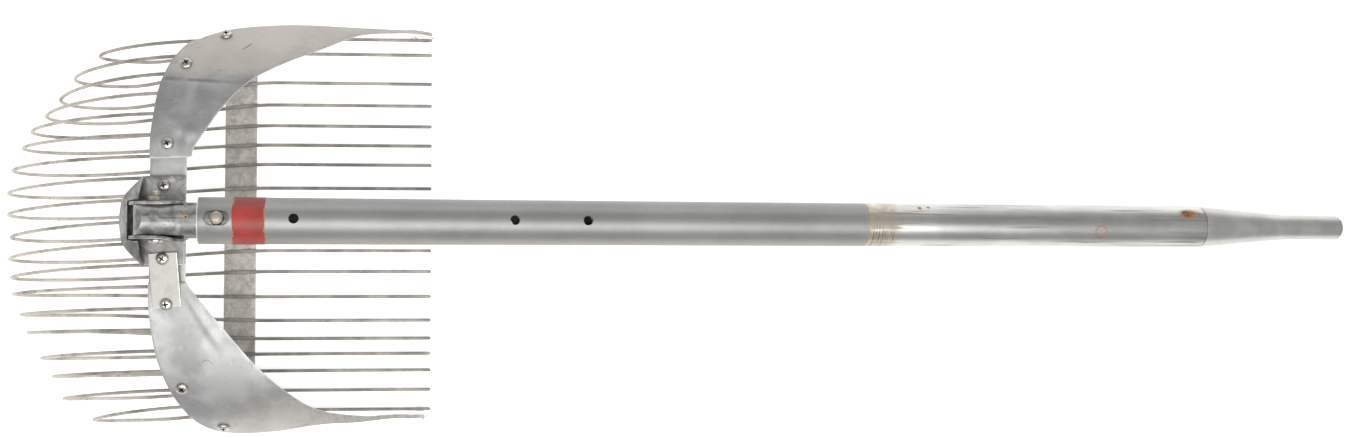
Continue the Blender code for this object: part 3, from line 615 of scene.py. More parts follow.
def name_plate_finish(colour):
    """Cream enamel plate, blank, with hairline scratches, stains and a rubbed metal edge."""
    f = Finish("name plate face")
    frame_at = name_plate_frame()
    place = f.place(frame_at.translation, tuple(frame_at.to_euler('XYZ')))
    x, y = f.xyz(place)[:2]
    stain = f.noise(place, 120, 4, 0.6, 0.5)
    fine = f.noise(f.stretch(place, (1, 0.12, 1), (0, 0, radians(12))), 900, 3, 0.6)
    cross = f.noise(f.stretch(place, (0.1, 1, 1), (0, 0, radians(-25))), 800, 2, 0.6)
    body = f.mix(f.rise(stain, 0.45, 0.72) * 0.6, colour, tuple(c * 0.72 for c in colour))
    body = f.mix(f.rise(fine, 0.65, 0.72) * 0.55, body, (0.40, 0.37, 0.33))
    body = f.mix(f.rise(cross, 0.68, 0.73) * 0.5, body, (0.30, 0.27, 0.24))
    inset = (0.009 - x.math('ABSOLUTE')).math('MINIMUM', 0.0175 - y.math('ABSOLUTE'))
    rubbed = 1 - f.rise(inset + (stain - 0.5) * 0.0008, 0.0002, 0.0007)
    body = f.mix(rubbed * 0.7, body, (0.50, 0.49, 0.46))
    bump = f.bump(fine + cross, 0.2, 0.00008)
    return f.done(Base_Color=body, Roughness=0.38 + stain * 0.2, Metallic=rubbed * 0.8,
                  Normal=bump)


def floor_finish(colour, glow):
    f = Finish("pale floor")
    return f.done(Base_Color=tuple(colour), Roughness=0.9, Emission_Color=(1.0, 1.0, 1.0),
                  Emission_Strength=glow)


# ---------------------------------------------------------------- shapes

def smooth_step(t):
    t = min(max(t, 0), 1)
    return t * t * (3 - 2 * t)


def hump(t):
    """1 at zero, falling smoothly to 0 at one either way."""
    return 1 - smooth_step(abs(t))


def curve_through(points, steps):
    """Evenly spaced points on a smooth curve through given ones."""
    ends = [2 * points[0] - points[1]] + points + [2 * points[-1] - points[-2]]
    fine = []
    for a, b, c, d in zip(ends, ends[1:], ends[2:], ends[3:]):
        for i in range(12):
            t = i / 12
            fine.append(0.5 * (2 * b + (c - a) * t + (2 * a - 5 * b + 4 * c - d) * t ** 2
                               + (3 * b - a - 3 * c + d) * t ** 3))
    fine.append(points[-1])
    lengths = [0]
    for first, second in zip(fine, fine[1:]):
        lengths.append(lengths[-1] + (second - first).length)
    result = []
    at = 0
    for i in range(steps + 1):
        wanted = lengths[-1] * i / steps
        while at < len(fine) - 2 and lengths[at + 1] < wanted:
            at += 1
        part = (wanted - lengths[at]) / (lengths[at + 1] - lengths[at])
        result.append(fine[at].lerp(fine[at + 1], min(max(part, 0), 1)))
    return result


def arch_height(y):
    part = 1 - min(abs(y) / ARCH_HALF_WIDTH, 0.995) ** ARCH_POWER
    return ARCH_TOP * part ** (1 / ARCH_POWER)


def arch_normal(y):
    step = 0.0002
    slope = (arch_height(y + step) - arch_height(y - step)) / (2 * step)
    return Vector((0, -slope, 1)).normalized()


def arch_y_at(length):
    """The y where the arch has run a given length from its middle."""
    y, run = 0, 0
    step = 0.0002 if length > 0 else -0.0002
    while run < abs(length):
        run += hypot(step, arch_height(y + step) - arch_height(y))
        y += step
    return y


def band_centre_x(y):
    return BAND_CENTRE_X + BAND_SWEEP * (min(abs(y), BAND_SWEEP_END) / 0.125) ** 6


def screw_frame(x, y, tilt):
    up = arch_normal(y) if tilt is None else Vector((0, -sin(tilt), cos(tilt)))
    turn = up.to_track_quat('Z', 'X').to_matrix().to_4x4()
    return Matrix.Translation((x, y, arch_height(y))) @ turn


def name_plate_frame():
    return Matrix.Translation((-0.0272, -0.0377, 0.1006)) \
        @ Matrix.Rotation(PLATE_TILT, 4, 'X') @ Matrix.Rotation(radians(3.5), 4, 'Z')


def wire_path(index):
    """One tine from its tip, along the ground, round its loop and up to the band."""
    place = (TINE_COUNT - 1) / 2 - index
    radius = bpy.context.scene.rake_basket.wire_radius
    tip_y = TIP_PITCH * place - MM + TIP_BEND_MM[index] * MM
    loop_y = LOOP_PITCH * place + LOOP_SHIFT + LOOP_BEND_MM[index] * MM
    top_y = arch_y_at(TOP_PITCH * place)
    low = STRAP_THICKNESS + GAP + radius
    top = arch_height(top_y) - (radius + 2 * GAP) / arch_normal(top_y).z
    apex_x = APEX_X + APEX_SWEEP * MM * abs(place) ** 2.25 - LOOP_REACH_MM[index] * MM
    apex_z = APEX_HEIGHT * top
    end_x = band_centre_x(top_y) - 0.0065
    foot_x = apex_x + LOOP_FOOT

    def lean(z):
        return loop_y + (top_y - loop_y) * max((z - low) / (top - low), 0) ** 1.5

    points = []
    for step in range(26):
        x = TIP_X + (foot_x - TIP_X) * step / 26
        turn = smooth_step((BEND_START - x) / (BEND_START - foot_x))
        points.append(Vector((x, tip_y + (loop_y - tip_y) * turn, low)))
    for step in range(12):
        angle = pi / 2 * step / 12
        z = apex_z - (apex_z - low) * cos(angle)
        points.append(Vector((foot_x - LOOP_FOOT * sin(angle), lean(z), z)))
    for step in range(25):
        angle = pi / 2 * step / 24
        x = apex_x + (end_x - apex_x) * (1 - cos(angle) ** (2 / TOP_CURVE_POWER))
        z = apex_z + (top - apex_z) * sin(angle) ** (2 / TOP_CURVE_POWER)
        points.append(Vector((x, lean(z), z)))
    return points


# ---------------------------------------------------------------- meshes and pieces

def link(name, mesh):
    obj = bpy.data.objects.new(name, mesh)
    bpy.context.scene.collection.objects.link(obj)
    return obj


def remove(*objects):
    for obj in objects:
        mesh = obj.data
        bpy.data.objects.remove(obj)
        bpy.data.meshes.remove(mesh)


def mesh_from(bm, name="shape"):
    mesh = bpy.data.meshes.new(name)
    bm.to_mesh(mesh)
    bm.free()
    return mesh


def evaluated(obj):
    """The object's mesh with its modifiers in it. The object is removed."""
    graph = bpy.context.evaluated_depsgraph_get()
    mesh = bpy.data.meshes.new_from_object(obj.evaluated_get(graph), depsgraph=graph)
    remove(obj)
    if not mesh.polygons:
        raise RuntimeError("a shape came out empty")
    return mesh


def carved(bm, *steps, bevel=0.0, segments=2):
    """A mesh after boolean steps, each (operation, cutter bmesh), with its edges rounded."""
    obj = link("carved", mesh_from(bm))
    cutters = []
    for operation, cutter in steps:
        cutters.append(link("cutter", mesh_from(cutter)))
        modifier = obj.modifiers.new("step", 'BOOLEAN')
        modifier.operation = operation
        modifier.solver = 'EXACT'
        modifier.object = cutters[-1]
    mesh = evaluated(obj)
    remove(*cutters)
    if not bevel:
        return mesh
    bm = bmesh.new()
    bm.from_mesh(mesh)
    bpy.data.meshes.remove(mesh)
    bmesh.ops.remove_doubles(bm, verts=bm.verts, dist=2e-6)
    bmesh.ops.dissolve_limit(bm, angle_limit=radians(0.6), verts=bm.verts, edges=bm.edges)
    round_edges(bm, bevel, segments)
    return mesh_from(bm)


def round_edges(bm, width, segments=2, angle=32):
    """Bevel every edge that turns by more than the angle."""
    bmesh.ops.recalc_face_normals(bm, faces=bm.faces)
    sharp = [edge for edge in bm.edges
             if len(edge.link_faces) == 2 and edge.calc_face_angle() > radians(angle)]
    bmesh.ops.bevel(bm, geom=sharp, offset=width, segments=segments, profile=0.5,
                    affect='EDGES', clamp_overlap=True)


def piece(name, mesh, body, finish, *nodes, slot_name=None, crease=34):
    """A finished piece on its body, standing for CAD nodes."""
    bm = bmesh.new()
    bm.from_mesh(mesh)
    bmesh.ops.remove_doubles(bm, verts=bm.verts, dist=1e-7)
    bmesh.ops.recalc_face_normals(bm, faces=bm.faces)
    bm.to_mesh(mesh)
    bm.free()
    mesh.shade_smooth()
    mesh.set_sharp_from_angle(angle=radians(crease))
    mesh.materials.clear()
    mesh.materials.append(finish)
    mesh.name = name
    obj = link(name, mesh)
    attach(obj, body)
    if nodes:
        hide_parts(*nodes)
    return obj


def placed(bm, matrix):
    bmesh.ops.transform(bm, verts=bm.verts, matrix=matrix)
    return bm


def box(low, high):
    bm = bmesh.new()
    bmesh.ops.create_cube(bm, size=1)
    size = Vector(high) - Vector(low)
    return placed(bm, Matrix.Translation((Vector(high) + Vector(low)) / 2)
                  @ Matrix.Diagonal((*size, 1)))


def turned(profile, axis='X', sides=96):
    """Turn (along, radius) points about X or Z. Points on the axis close it."""
    bm = bmesh.new()
    rings = []
    for along, radius in profile:
        count = sides if radius > 0 else 1
        ring = []
        for i in range(count):
            a, b = radius * cos(2 * pi * i / sides), radius * sin(2 * pi * i / sides)
            ring.append(bm.verts.new((along, a, b) if axis == 'X' else (a, b, along)))
        rings.append(ring)
    pairs = list(zip(rings, rings[1:]))
    if len(rings[0]) > 1:
        pairs.append((rings[-1], rings[0]))
    for first, second in pairs:
        for i in range(sides):
            j = (i + 1) % sides
            corners = [first[i % len(first)], first[j % len(first)],
                       second[j % len(second)], second[i % len(second)]]
            corners = list(dict.fromkeys(corners))
            if len(corners) > 2:
                bm.faces.new(corners)
    bmesh.ops.recalc_face_normals(bm, faces=bm.faces)
    return bm


def rod(radius, start, end, sides=48):
    return turned(((start, 0), (start, radius), (end, radius), (end, 0)), 'Z', sides)


def extruded(outline, low, high, axis='Y'):
    """Extrude an outline of (x, z) points along Y, or of (x, y) points along Z."""
    bm = bmesh.new()
    rings = [[bm.verts.new((a, level, b) if axis == 'Y' else (a, b, level)) for a, b in outline]
             for level in (low, high)]
    bm.faces.new(rings[0])
    bm.faces.new(rings[1])
    for i in range(len(outline)):
        j = (i + 1) % len(outline)
        bm.faces.new((rings[0][i], rings[0][j], rings[1][j], rings[1][i]))
    bmesh.ops.recalc_face_normals(bm, faces=bm.faces)
    return bm


def thread(radius, start, end, pitch=0.0005):
    """Profile of a threaded rod's side, from start to end."""
    turns = max(round((end - start) / pitch), 2)
    points = []
    for i in range(turns + 1):
        along = start + (end - start) * i / turns
        points.append((along, radius))
        if i < turns:
            points.append((along + 0.5 * (end - start) / turns, radius * 0.9))
    return points


def sheet(grid, thickness, relief=None, edge=0.00025):
    """A closed sheet from rows of points on its underside, with rounded cut edges.

    Its rim attribute is the distance from the nearest cut edge.
    """
    rows, columns = len(grid), len(grid[0])

    def normal(r, c):
        along = grid[min(r + 1, rows - 1)][c] - grid[max(r - 1, 0)][c]
        across = grid[r][min(c + 1, columns - 1)] - grid[r][max(c - 1, 0)]
        up = along.cross(across).normalized()
        return up if up.z > 0 else -up

    def rim_distance(r, c):
        row = grid[r]
        to_side = min((row[c] - row[0]).length, (row[c] - row[-1]).length)
        to_end = min((row[c] - grid[0][c]).length, (row[c] - grid[-1][c]).length)
        return min(to_side, to_end)

    bm = bmesh.new()
    rim = bm.verts.layers.float.new("rim")
    low, high = [], []
    for r in range(rows):
        low.append([])
        high.append([])
        for c in range(columns):
            up = normal(r, c)
            lift = relief(grid[r][c]) if relief else 0
            for side, height in ((low, 0), (high, thickness)):
                vert = bm.verts.new(grid[r][c] + (height + lift) * up)
                vert[rim] = rim_distance(r, c)
                side[-1].append(vert)
    for r in range(rows - 1):
        for c in range(columns - 1):
            bm.faces.new((low[r][c], low[r][c + 1], low[r + 1][c + 1], low[r + 1][c]))
            bm.faces.new((high[r][c], high[r + 1][c], high[r + 1][c + 1], high[r][c + 1]))
    edge_loop = [(r, 0) for r in range(rows)]
    edge_loop += [(rows - 1, c) for c in range(1, columns)]
    edge_loop += [(r, columns - 1) for r in range(rows - 2, -1, -1)]
    edge_loop += [(0, c) for c in range(columns - 2, 0, -1)]
    walls = []
    for (r1, c1), (r2, c2) in zip(edge_loop, edge_loop[1:] + edge_loop[:1]):
        walls.append(bm.faces.new((low[r1][c1], low[r2][c2], high[r2][c2], high[r1][c1])))
    bmesh.ops.recalc_face_normals(bm, faces=bm.faces)
    wall_set = set(walls)
    cut = [e for face in walls for e in face.edges
           if len(set(e.link_faces) & wall_set) == 1]
    bmesh.ops.bevel(bm, geom=cut, offset=edge, segments=2, profile=0.5, affect='EDGES',
                    clamp_overlap=True)
    return bm


def cad_copy(node):
    """A merged copy of a CAD node's mesh, with flat faces made whole again."""
    bm = bmesh.new()
    bm.from_mesh(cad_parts[node].data)
    bmesh.ops.remove_doubles(bm, verts=bm.verts, dist=1e-6)
    bmesh.ops.dissolve_limit(bm, angle_limit=radians(0.5), verts=bm.verts, edges=bm.edges)
    return bm


# ---------------------------------------------------------------- geometry nodes

def node_group(name, *sizes):
    """An empty geometry tree with a Geometry and a Material input and named sizes."""
    group = bpy.data.node_groups.new(name, 'GeometryNodeTree')
    face = group.interface
    face.new_socket("Geometry", in_out='OUTPUT', socket_type='NodeSocketGeometry')
    face.new_socket("Geometry", in_out='INPUT', socket_type='NodeSocketGeometry')
    face.new_socket("Material", in_out='INPUT', socket_type='NodeSocketMaterial')
    for label, kind in sizes:
        face.new_socket(label, in_out='INPUT', socket_type=kind)
    return group, NodeTree(group)


def close_group(tree, shape, material):
    """Realize Instances, then Set Material, then the output."""
    real = tree.node('GeometryNodeRealizeInstances', {}, {0: shape})
    painted = tree.node('GeometryNodeSetMaterial', {}, {0: real, "Material": material})
    tree.node('NodeGroupOutput', {}, {0: painted})


def grown(group, mesh, inputs):
    """The plain mesh that a geometry tree makes from a mesh and its named inputs."""
    obj = link("grown", mesh)
    modifier = obj.modifiers.new("grow", 'NODES')
    modifier.node_group = group
    sockets = {item.name: item.identifier for item in group.interface.items_tree
               if item.in_out == 'INPUT'}
    for label, value in inputs.items():
        modifier[sockets[label]] = value
    return evaluated(obj)


def wire_tree():
    """Round wire along a chain of edges, its tips rounded by the girth attribute."""
    group, tree = node_group("wire along a path", ("Wire radius", 'NodeSocketFloat'),
                             ("Sides", 'NodeSocketInt'))
    given = tree.node('NodeGroupInput')
    path = tree.node('GeometryNodeMeshToCurve', {}, {0: given.output("Geometry")})
    girth = tree.node('GeometryNodeInputNamedAttribute', {"data_type": 'FLOAT'},
                      {"Name": "girth"})
    path = tree.node('GeometryNodeSetCurveRadius', {}, {"Curve": path, "Radius": girth})
    ring = tree.node('GeometryNodeCurvePrimitiveCircle', {}, {
        "Resolution": given.output("Sides"), "Radius": given.output("Wire radius")})
    curve_to_mesh = {"Curve": path, "Profile Curve": ring, "Fill Caps": True}
    scale = tree.node('GeometryNodeInputRadius')
    shape = tree.node('GeometryNodeCurveToMesh', {}, curve_to_mesh)
    if "Scale" in shape.socket.node.inputs:
        tree.tree.links.new(scale.socket, shape.socket.node.inputs["Scale"])
    close_group(tree, shape, given.output("Material"))
    return group


def fastener_tree():
    """A copy of an object on each point, set along the up attribute and turned by spin."""
    group, tree = node_group("fasteners on points", ("Fastener", 'NodeSocketObject'),
                             ("Size", 'NodeSocketFloat'))
    given = tree.node('NodeGroupInput')
    part = tree.node('GeometryNodeObjectInfo', {}, {"Object": given.output("Fastener")},
                     "Geometry")
    up = tree.node('GeometryNodeInputNamedAttribute', {"data_type": 'FLOAT_VECTOR'},
                   {"Name": "up"})
    spin = tree.node('GeometryNodeInputNamedAttribute', {"data_type": 'FLOAT'},
                     {"Name": "spin"})
    aim = tree.node('FunctionNodeAlignRotationToVector', {"axis": 'Z'}, {"Vector": up})
    turn = tree.node('ShaderNodeCombineXYZ', {}, {2: spin})
    turn = tree.node('FunctionNodeEulerToRotation', {}, {0: turn})
    aim = tree.node('FunctionNodeRotateRotation', {"rotation_space": 'LOCAL'},
                    {"Rotation": aim, "Rotate By": turn})
    copies = tree.node('GeometryNodeInstanceOnPoints', {}, {
        "Points": given.output("Geometry"), "Instance": part, "Rotation": aim,
        "Scale": given.output("Size")})
    close_group(tree, copies, given.output("Material"))
    return group


def path_mesh(points, radius):
    """A chain of edges whose girth attribute rounds both ends."""
    first, last = points[0], points[-1]
    into = (points[1] - first).normalized() * radius
    back = (points[-2] - last).normalized() * radius
    rounds = ((0.0, 0.25), (0.06, 0.45), (0.25, 0.75), (0.6, 0.95), (1.0, 1.0))
    chain = [(first + into * depth, girth) for depth, girth in rounds]
    chain += [(point, 1.0) for point in points[1:-1]]
    chain += [(last + back * depth, girth) for depth, girth in reversed(rounds)]
    mesh = bpy.data.meshes.new("path")
    mesh.from_pydata([point for point, _ in chain],
                     [(i, i + 1) for i in range(len(chain) - 1)], [])
    girths = mesh.attributes.new("girth", 'FLOAT', 'POINT')
    girths.data.foreach_set("value", [girth for _, girth in chain])
    return mesh


def points_mesh(places):
    """Loose points with up and spin attributes, from (position, up, spin)."""
    mesh = bpy.data.meshes.new("points")
    mesh.from_pydata([place for place, _, _ in places], [], [])
    ups = mesh.attributes.new("up", 'FLOAT_VECTOR', 'POINT')
    ups.data.foreach_set("vector", [value for _, up, _ in places for value in up])
    spins = mesh.attributes.new("spin", 'FLOAT', 'POINT')
    spins.data.foreach_set("value", [spin for _, _, spin in places])
    return mesh


# ---------------------------------------------------------------- sizes and colours

def colour_property(label, text, default):
    return FloatVectorProperty(name=label, description=text, subtype='COLOR', size=3,
                               min=0, max=1, default=default)


class BasketSettings(bpy.types.PropertyGroup):
    wire_radius: FloatProperty(name="Wire radius", description="Radius of the tine wire",
                               default=0.0012, subtype='DISTANCE', unit='LENGTH')
    wire_sides: IntProperty(name="Wire sides", description="Sides of the tine wire",
                            default=12, min=6, max=32)
    wire_colour: colour_property("Wire", "Colour of the tines", (0.40, 0.375, 0.335))
    strap_colour: colour_property("Strap", "Colour of the cross strap", (0.60, 0.575, 0.53))
    sheet_colour: colour_property("Sheet", "Colour of the side plates", (0.44, 0.444, 0.436))
    stain_colour: colour_property("Stain", "Colour of their outer ends", (0.46, 0.43, 0.385))
    bracket_colour: colour_property("Bracket", "Colour of the bracket", (0.42, 0.42, 0.41))
    steel_colour: colour_property("Steel", "Colour of the screws", (0.58, 0.565, 0.53))
    dark_steel_colour: colour_property("Dark steel", "Colour of the nuts", (0.24, 0.225, 0.20))
    label_colour: colour_property("Name plate", "Colour of the name plate", (0.50, 0.485, 0.44))


class HandleSettings(bpy.types.PropertyGroup):
    coat_colour: colour_property("Coat", "Colour of the tube's coat", (0.255, 0.258, 0.248))
    bare_colour: colour_property("Bare metal", "Colour of bare aluminium", (0.54, 0.535, 0.51))
    band_colour: colour_property("Band", "Colour of the painted band", (0.34, 0.030, 0.024))
    rust_colour: colour_property("Rust", "Colour of the rusty pin", (0.30, 0.15, 0.07))


class StageSettings(bpy.types.PropertyGroup):
    floor_colour: colour_property("Floor", "Colour of the floor", (0.90, 0.90, 0.90))
    floor_glow: FloatProperty(name="Floor glow", description="Lightens the shadows",
                              default=0.55, min=0)
    key_power: FloatProperty(name="Key light", description="Power of the large light",
                             default=22, unit='POWER', subtype='POWER')
    rear_power: FloatProperty(name="Rear light", description="Power of the light past the top",
                              default=7, unit='POWER', subtype='POWER')
    sky_strength: FloatProperty(name="Sky", description="Strength of the plain sky",
                                default=0.45, min=0)
    lens: FloatProperty(name="Lens", description="Focal length", default=39.61,
                        unit='CAMERA', subtype='DISTANCE_CAMERA')


def settings():
    scene = bpy.context.scene
    return scene.rake_basket, scene.rake_handle, scene.rake_stage


def colour(value):
    return tuple(round(channel, 4) for channel in value)


# ---------------------------------------------------------------- the basket's pieces

def plate_surface(x, y):
    """A point on a side plate's underside: the arch, coming down towards the tine tips."""
    taper = 1 - ARCH_TAPER * smooth_step((x - ARCH_TAPER_START) / ARCH_TAPER_LENGTH)
    return Vector((x, y, arch_height(y) * taper)) + PLATE_LIFT * arch_normal(y)


def fold(point, start, end, width):
    """1 on a straight fold line seen from above, falling to 0 at a width from it."""
    line = Vector(end) - Vector(start)
    along = (point.xy - Vector(start)).dot(line) / line.length_squared
    nearest = Vector(start) + line * min(max(along, 0), 1)
    return hump((point.xy - nearest).length / width) * smooth_step(1.3 - abs(along - 0.5) * 2)


def plate_relief(point):
    """Handling waves, and crumpling where the plates narrow to the tine tips."""
    lift = 0.30 * MM * noise.noise(point * 30) + 0.10 * MM * noise.noise(point * 85)
    crumple = smooth_step((point.x - 0.095) / 0.035)
    return lift + crumple * 0.75 * MM * noise.noise(point * 170)


def left_plate_relief(point):
    lift = plate_relief(point)
    lift += 0.95 * MM * hump((point.xy - Vector((-0.0125, 0.0575))).length / 0.0070)
    lift -= 0.45 * MM * hump((point.xy - Vector((-0.0195, 0.0535))).length / 0.0060)
    lift -= 0.40 * MM * fold(point, (-0.0150, 0.0600), (-0.0105, 0.0430), 0.0022)
    return lift - 0.45 * MM * fold(point, (-0.0330, 0.0925), (0.0200, 0.0905), 0.0042)


def right_plate_relief(point):
    lift = plate_relief(point)
    lift += 0.60 * MM * fold(point, (-0.0170, -0.0420), (0.0050, -0.0790), 0.0042)
    return lift - 0.35 * MM * fold(point, (-0.0060, -0.0700), (0.0060, -0.0880), 0.0050)


def side_plate_grid(rear, front, corner_pull):
    rear_curve = curve_through([Vector((x, y, 0)) * MM for x, y in rear], 120)
    front_curve = curve_through([Vector((x, y, 0)) * MM for x, y in front], 120)
    grid = []
    for r, (back, fore) in enumerate(zip(rear_curve, front_curve)):
        row = []
        for column in range(27):
            flat = back.lerp(fore, column / 26)
            pull = corner_pull * hump(r / 4) * hump((26 - column) / 3)
            row.append(plate_surface(flat.x + pull, flat.y))
        grid.append(row)
    return grid


class MakeTines(bpy.types.Operator):
    """Make the nineteen bent wire tines"""
    bl_idname = "rake.tines"
    bl_label = "Tines"

    def execute(self, context):
        basket = settings()[0]
        finish = tine_finish(colour(basket.wire_colour))
        tree = wire_tree()
        for index in range(TINE_COUNT):
            path = path_mesh(wire_path(index), basket.wire_radius)
            mesh = grown(tree, path, {"Material": finish, "Sides": basket.wire_sides,
                                      "Wire radius": basket.wire_radius})
            piece(f"wire_tine_{index + 1:02d}", mesh, "head", finish, f"tine_{index + 1:02d}",
                  slot_name="tine_wire")
        return {'FINISHED'}


TIE_RADIUS = 0.00022
TIE_COIL_RADIUS = 0.00155
TIE_STEPS = 44
TIE_STEPS_PER_TURN = 12
TIE_STEP_LENGTH = 0.00012
# side, tine and distance of the tie from the strap
TIES = (("left", 0, 0.1265), ("right", TINE_COUNT - 1, 0.1240))
LOOSE_WIRES_MM = {
    "left_a": ((118, 133.6, 5.6), (124, 135.2, 7.0), (130, 135.4, 6.4),
               (135, 134.6, 4.6), (138, 132.2, 3.0)),
    "left_b": ((121, 134.8, 6.4), (127, 133.2, 6.8), (133, 133.6, 5.4), (136, 136.0, 4.0)),
    "right_a": ((120, -134.6, 4.6), (125, -136.0, 5.4), (130, -135.6, 5.0),
                (134, -134.4, 4.0), (138, -134.8, 3.2)),
    "right_b": ((124, -134.6, 5.2), (129, -137.0, 5.2), (133, -137.2, 4.0), (135, -135.4, 3.0)),
}


class MakeWireEnds(bpy.types.Operator):
    """Make the thin tie wires and loose ends at the outer tine tips"""
    bl_idname = "rake.wire_ends"
    bl_label = "Tie wires"

    def execute(self, context):
        finish = bpy.data.materials["tine wire"]
        tree = wire_tree()
        for word, index, tie_x in TIES:
            wire = wire_path(index)[1]
            middle = Vector((tie_x, wire.y, wire.z))
            turns = []
            for step in range(TIE_STEPS):
                angle = 2 * pi * step / TIE_STEPS_PER_TURN
                turns.append(middle + Vector((step * TIE_STEP_LENGTH, cos(angle) * TIE_COIL_RADIUS,
                                              sin(angle) * TIE_COIL_RADIUS)))
            self.thin_wire(tree, f"tie_wire_{word}", turns, finish)
        for word, points in LOOSE_WIRES_MM.items():
            path = curve_through([Vector(point) * MM for point in points], 20)
            self.thin_wire(tree, f"loose_wire_{word}", path, finish)
        return {'FINISHED'}

    @staticmethod
    def thin_wire(tree, name, path, finish):
        mesh = grown(tree, path_mesh(path, TIE_RADIUS), {
            "Material": finish, "Sides": 8, "Wire radius": TIE_RADIUS})
        piece(name, mesh, "head", finish)


class MakeStrap(bpy.types.Operator):
    """Make the flat cross strap under the tines"""
    bl_idname = "rake.strap"
    bl_label = "Cross strap"

    def execute(self, context):
        rows = 90
        start, end = STRAP_ENDS
        grid = []
        for r in range(rows + 1):
            y = start + (end - start) * r / rows
            grid.append([Vector((STRAP_HALF_WIDTH * (c / 4 - 1), y, 0)) for c in range(9)])
        bm = sheet(grid, STRAP_THICKNESS,
                   lambda p: 0.05 * MM * (1 + noise.noise(p * 60)) * 0.9, 0.0003)
        finish = strap_finish(colour(settings()[0].strap_colour))
        piece("strap", mesh_from(bm), "head", finish, "cross_strap", slot_name="strap_steel")
        return {'FINISHED'}


class MakeSheets(bpy.types.Operator):
    """Make the top band and the two side plates"""
    bl_idname = "rake.sheets"
    bl_label = "Band and side plates"

    def execute(self, context):
        basket = settings()[0]
        finish = sheet_finish(colour(basket.sheet_colour), colour(basket.stain_colour))
        grid = []
        start, end = BAND_ENDS
        for step in range(105):
            y = start + (end - start) * step / 104
            reach = 0.0005
            along = Vector((band_centre_x(y + reach) - band_centre_x(y - reach), 2 * reach,
                            arch_height(y + reach) - arch_height(y - reach))).normalized()
            across = along.cross(arch_normal(y)).normalized()
            middle = Vector((band_centre_x(y), y, arch_height(y)))
            rear = 0.75 * smooth_step(1 - min(y - start, end - y) / BAND_END_CUT) - 1
            grid.append([middle + across * BAND_HALF_WIDTH * (rear + (1 - rear) * c / 8)
                         for c in range(9)])
        piece("band", mesh_from(sheet(grid, BAND_THICKNESS, None, 0.0003)), "head", finish,
              "top_band", slot_name="sheet_aluminium")
        for word, rear, front, relief, pull in (
                ("left", LEFT_REAR, LEFT_FRONT, left_plate_relief, 0.0022),
                ("right", RIGHT_REAR, RIGHT_FRONT, right_plate_relief, 0.0008)):
            bm = sheet(side_plate_grid(rear, front, pull), PLATE_THICKNESS, relief)
            piece(f"plate_{word}", mesh_from(bm), "head", finish, f"side_plate_{word}",
                  slot_name="side_sheet")
        return {'FINISHED'}


class MakeBracket(bpy.types.Operator):
    """Make the hinge bracket with its two ears and the folded shroud behind it"""
    bl_idname = "rake.bracket"
    bl_label = "Hinge bracket"

    def execute(self, context):
        finish = bracket_finish(colour(settings()[0].bracket_colour))
        bm = cad_copy("hinge_bracket")
        round_edges(bm, 0.00045, 3)
        for vert in bm.verts:
            forward = smooth_step((vert.co.x + 0.026) / 0.013)
            if abs(vert.co.y) > 0.0094 and vert.co.z > 0.1018:
                vert.co.y += (-0.0021 if vert.co.y < 0 else 0.0005) * forward
        piece("bracket", mesh_from(bm), "head", finish, "hinge_bracket",
              slot_name="bracket_sheet")
        piece("shroud", self.shroud(), "head", finish, "rear_shroud",
              slot_name="bracket_sheet")
        return {'FINISHED'}

    @staticmethod
    def shroud():
        """A hood swept from the ears' top rim down to its rounded foot."""
        thickness = 0.0012
        top = [Vector(c) * MM for c in ((-40.8, 13.2, 114.5), (-48.2, 13.2, 114.5),
                                        (-48.2, 9.2, 114))]
        foot = [Vector(c) * MM for c in ((-40.8, 29, 103), (-53, 16.5, 100.4), (-56, 6, 100))]
        mirror = Matrix.Diagonal((1, -1, 1))
        top += [mirror @ point for point in reversed(top)]
        foot += [mirror @ point for point in reversed(foot)]
        ends = [2 * foot[0] - foot[1]] + foot + [2 * foot[-1] - foot[-2]]
        rows = []
        for span, count in enumerate((16, 8, 12, 8, 16)):
            a, b, c, d = ends[span:span + 4]
            for i in range(count + (span == 4)):
                t = i / count
                low = 0.5 * (2 * b + (c - a) * t + (2 * a - 5 * b + 4 * c - d) * t ** 2
                             + (3 * b - a - 3 * c + d) * t ** 3)
                high = top[span].lerp(top[span + 1], t)
                out = Vector((low.x + 0.030, low.y, 0.012)).normalized()
                rows.append([high.lerp(low, k / 10) + out * 0.9 * MM * sin(pi * k / 10)
                             for k in range(11)])
        return mesh_from(sheet(rows, thickness, lambda point: -thickness, 0.0003))


class MakeHingeBolt(bpy.types.Operator):
    """Make the hinge bolt and its nut"""
    bl_idname = "rake.hinge_bolt"
    bl_label = "Hinge bolt"

    def execute(self, context):
        basket = settings()[0]
        across = Matrix.Translation(HINGE) @ Matrix.Rotation(-pi / 2, 4, 'X')
        seat = EAR_OUTER + GAP
        profile = [(-seat - 0.0029, 0), (-seat - 0.0028, 0.0016), (-seat - 0.0025, 0.0030),
                   (-seat - 0.0019, 0.0041), (-seat - 0.0012, 0.0045), (-seat - 0.0004, 0.0046),
                   (-seat, 0.0044), (-seat, BOLT_RADIUS), (seat, BOLT_RADIUS)]
        profile += thread(BOLT_RADIUS, seat + 0.0004, 0.0179, 0.0007)
        profile += [(0.0185, 0.0019), (0.0185, 0)]
        bm = placed(turned(profile, 'Z', 40), across)
        steel = steel_finish("bright steel", colour(basket.steel_colour), (0.30, 0.27, 0.22))
        dark = steel_finish("dark steel", colour(basket.dark_steel_colour), (0.12, 0.085, 0.06))
        piece("bolt", mesh_from(bm), "head", steel, "hinge_bolt", slot_name="bright_steel")
        mesh = hex_nut(0.0058, 0.0032, BOLT_HOLE_RADIUS)
        mesh.transform(across @ Matrix.Translation((0, 0, seat)))
        piece("bolt_nut", mesh, "head", dark, "hinge_nut", slot_name="dark_steel")
        return {'FINISHED'}


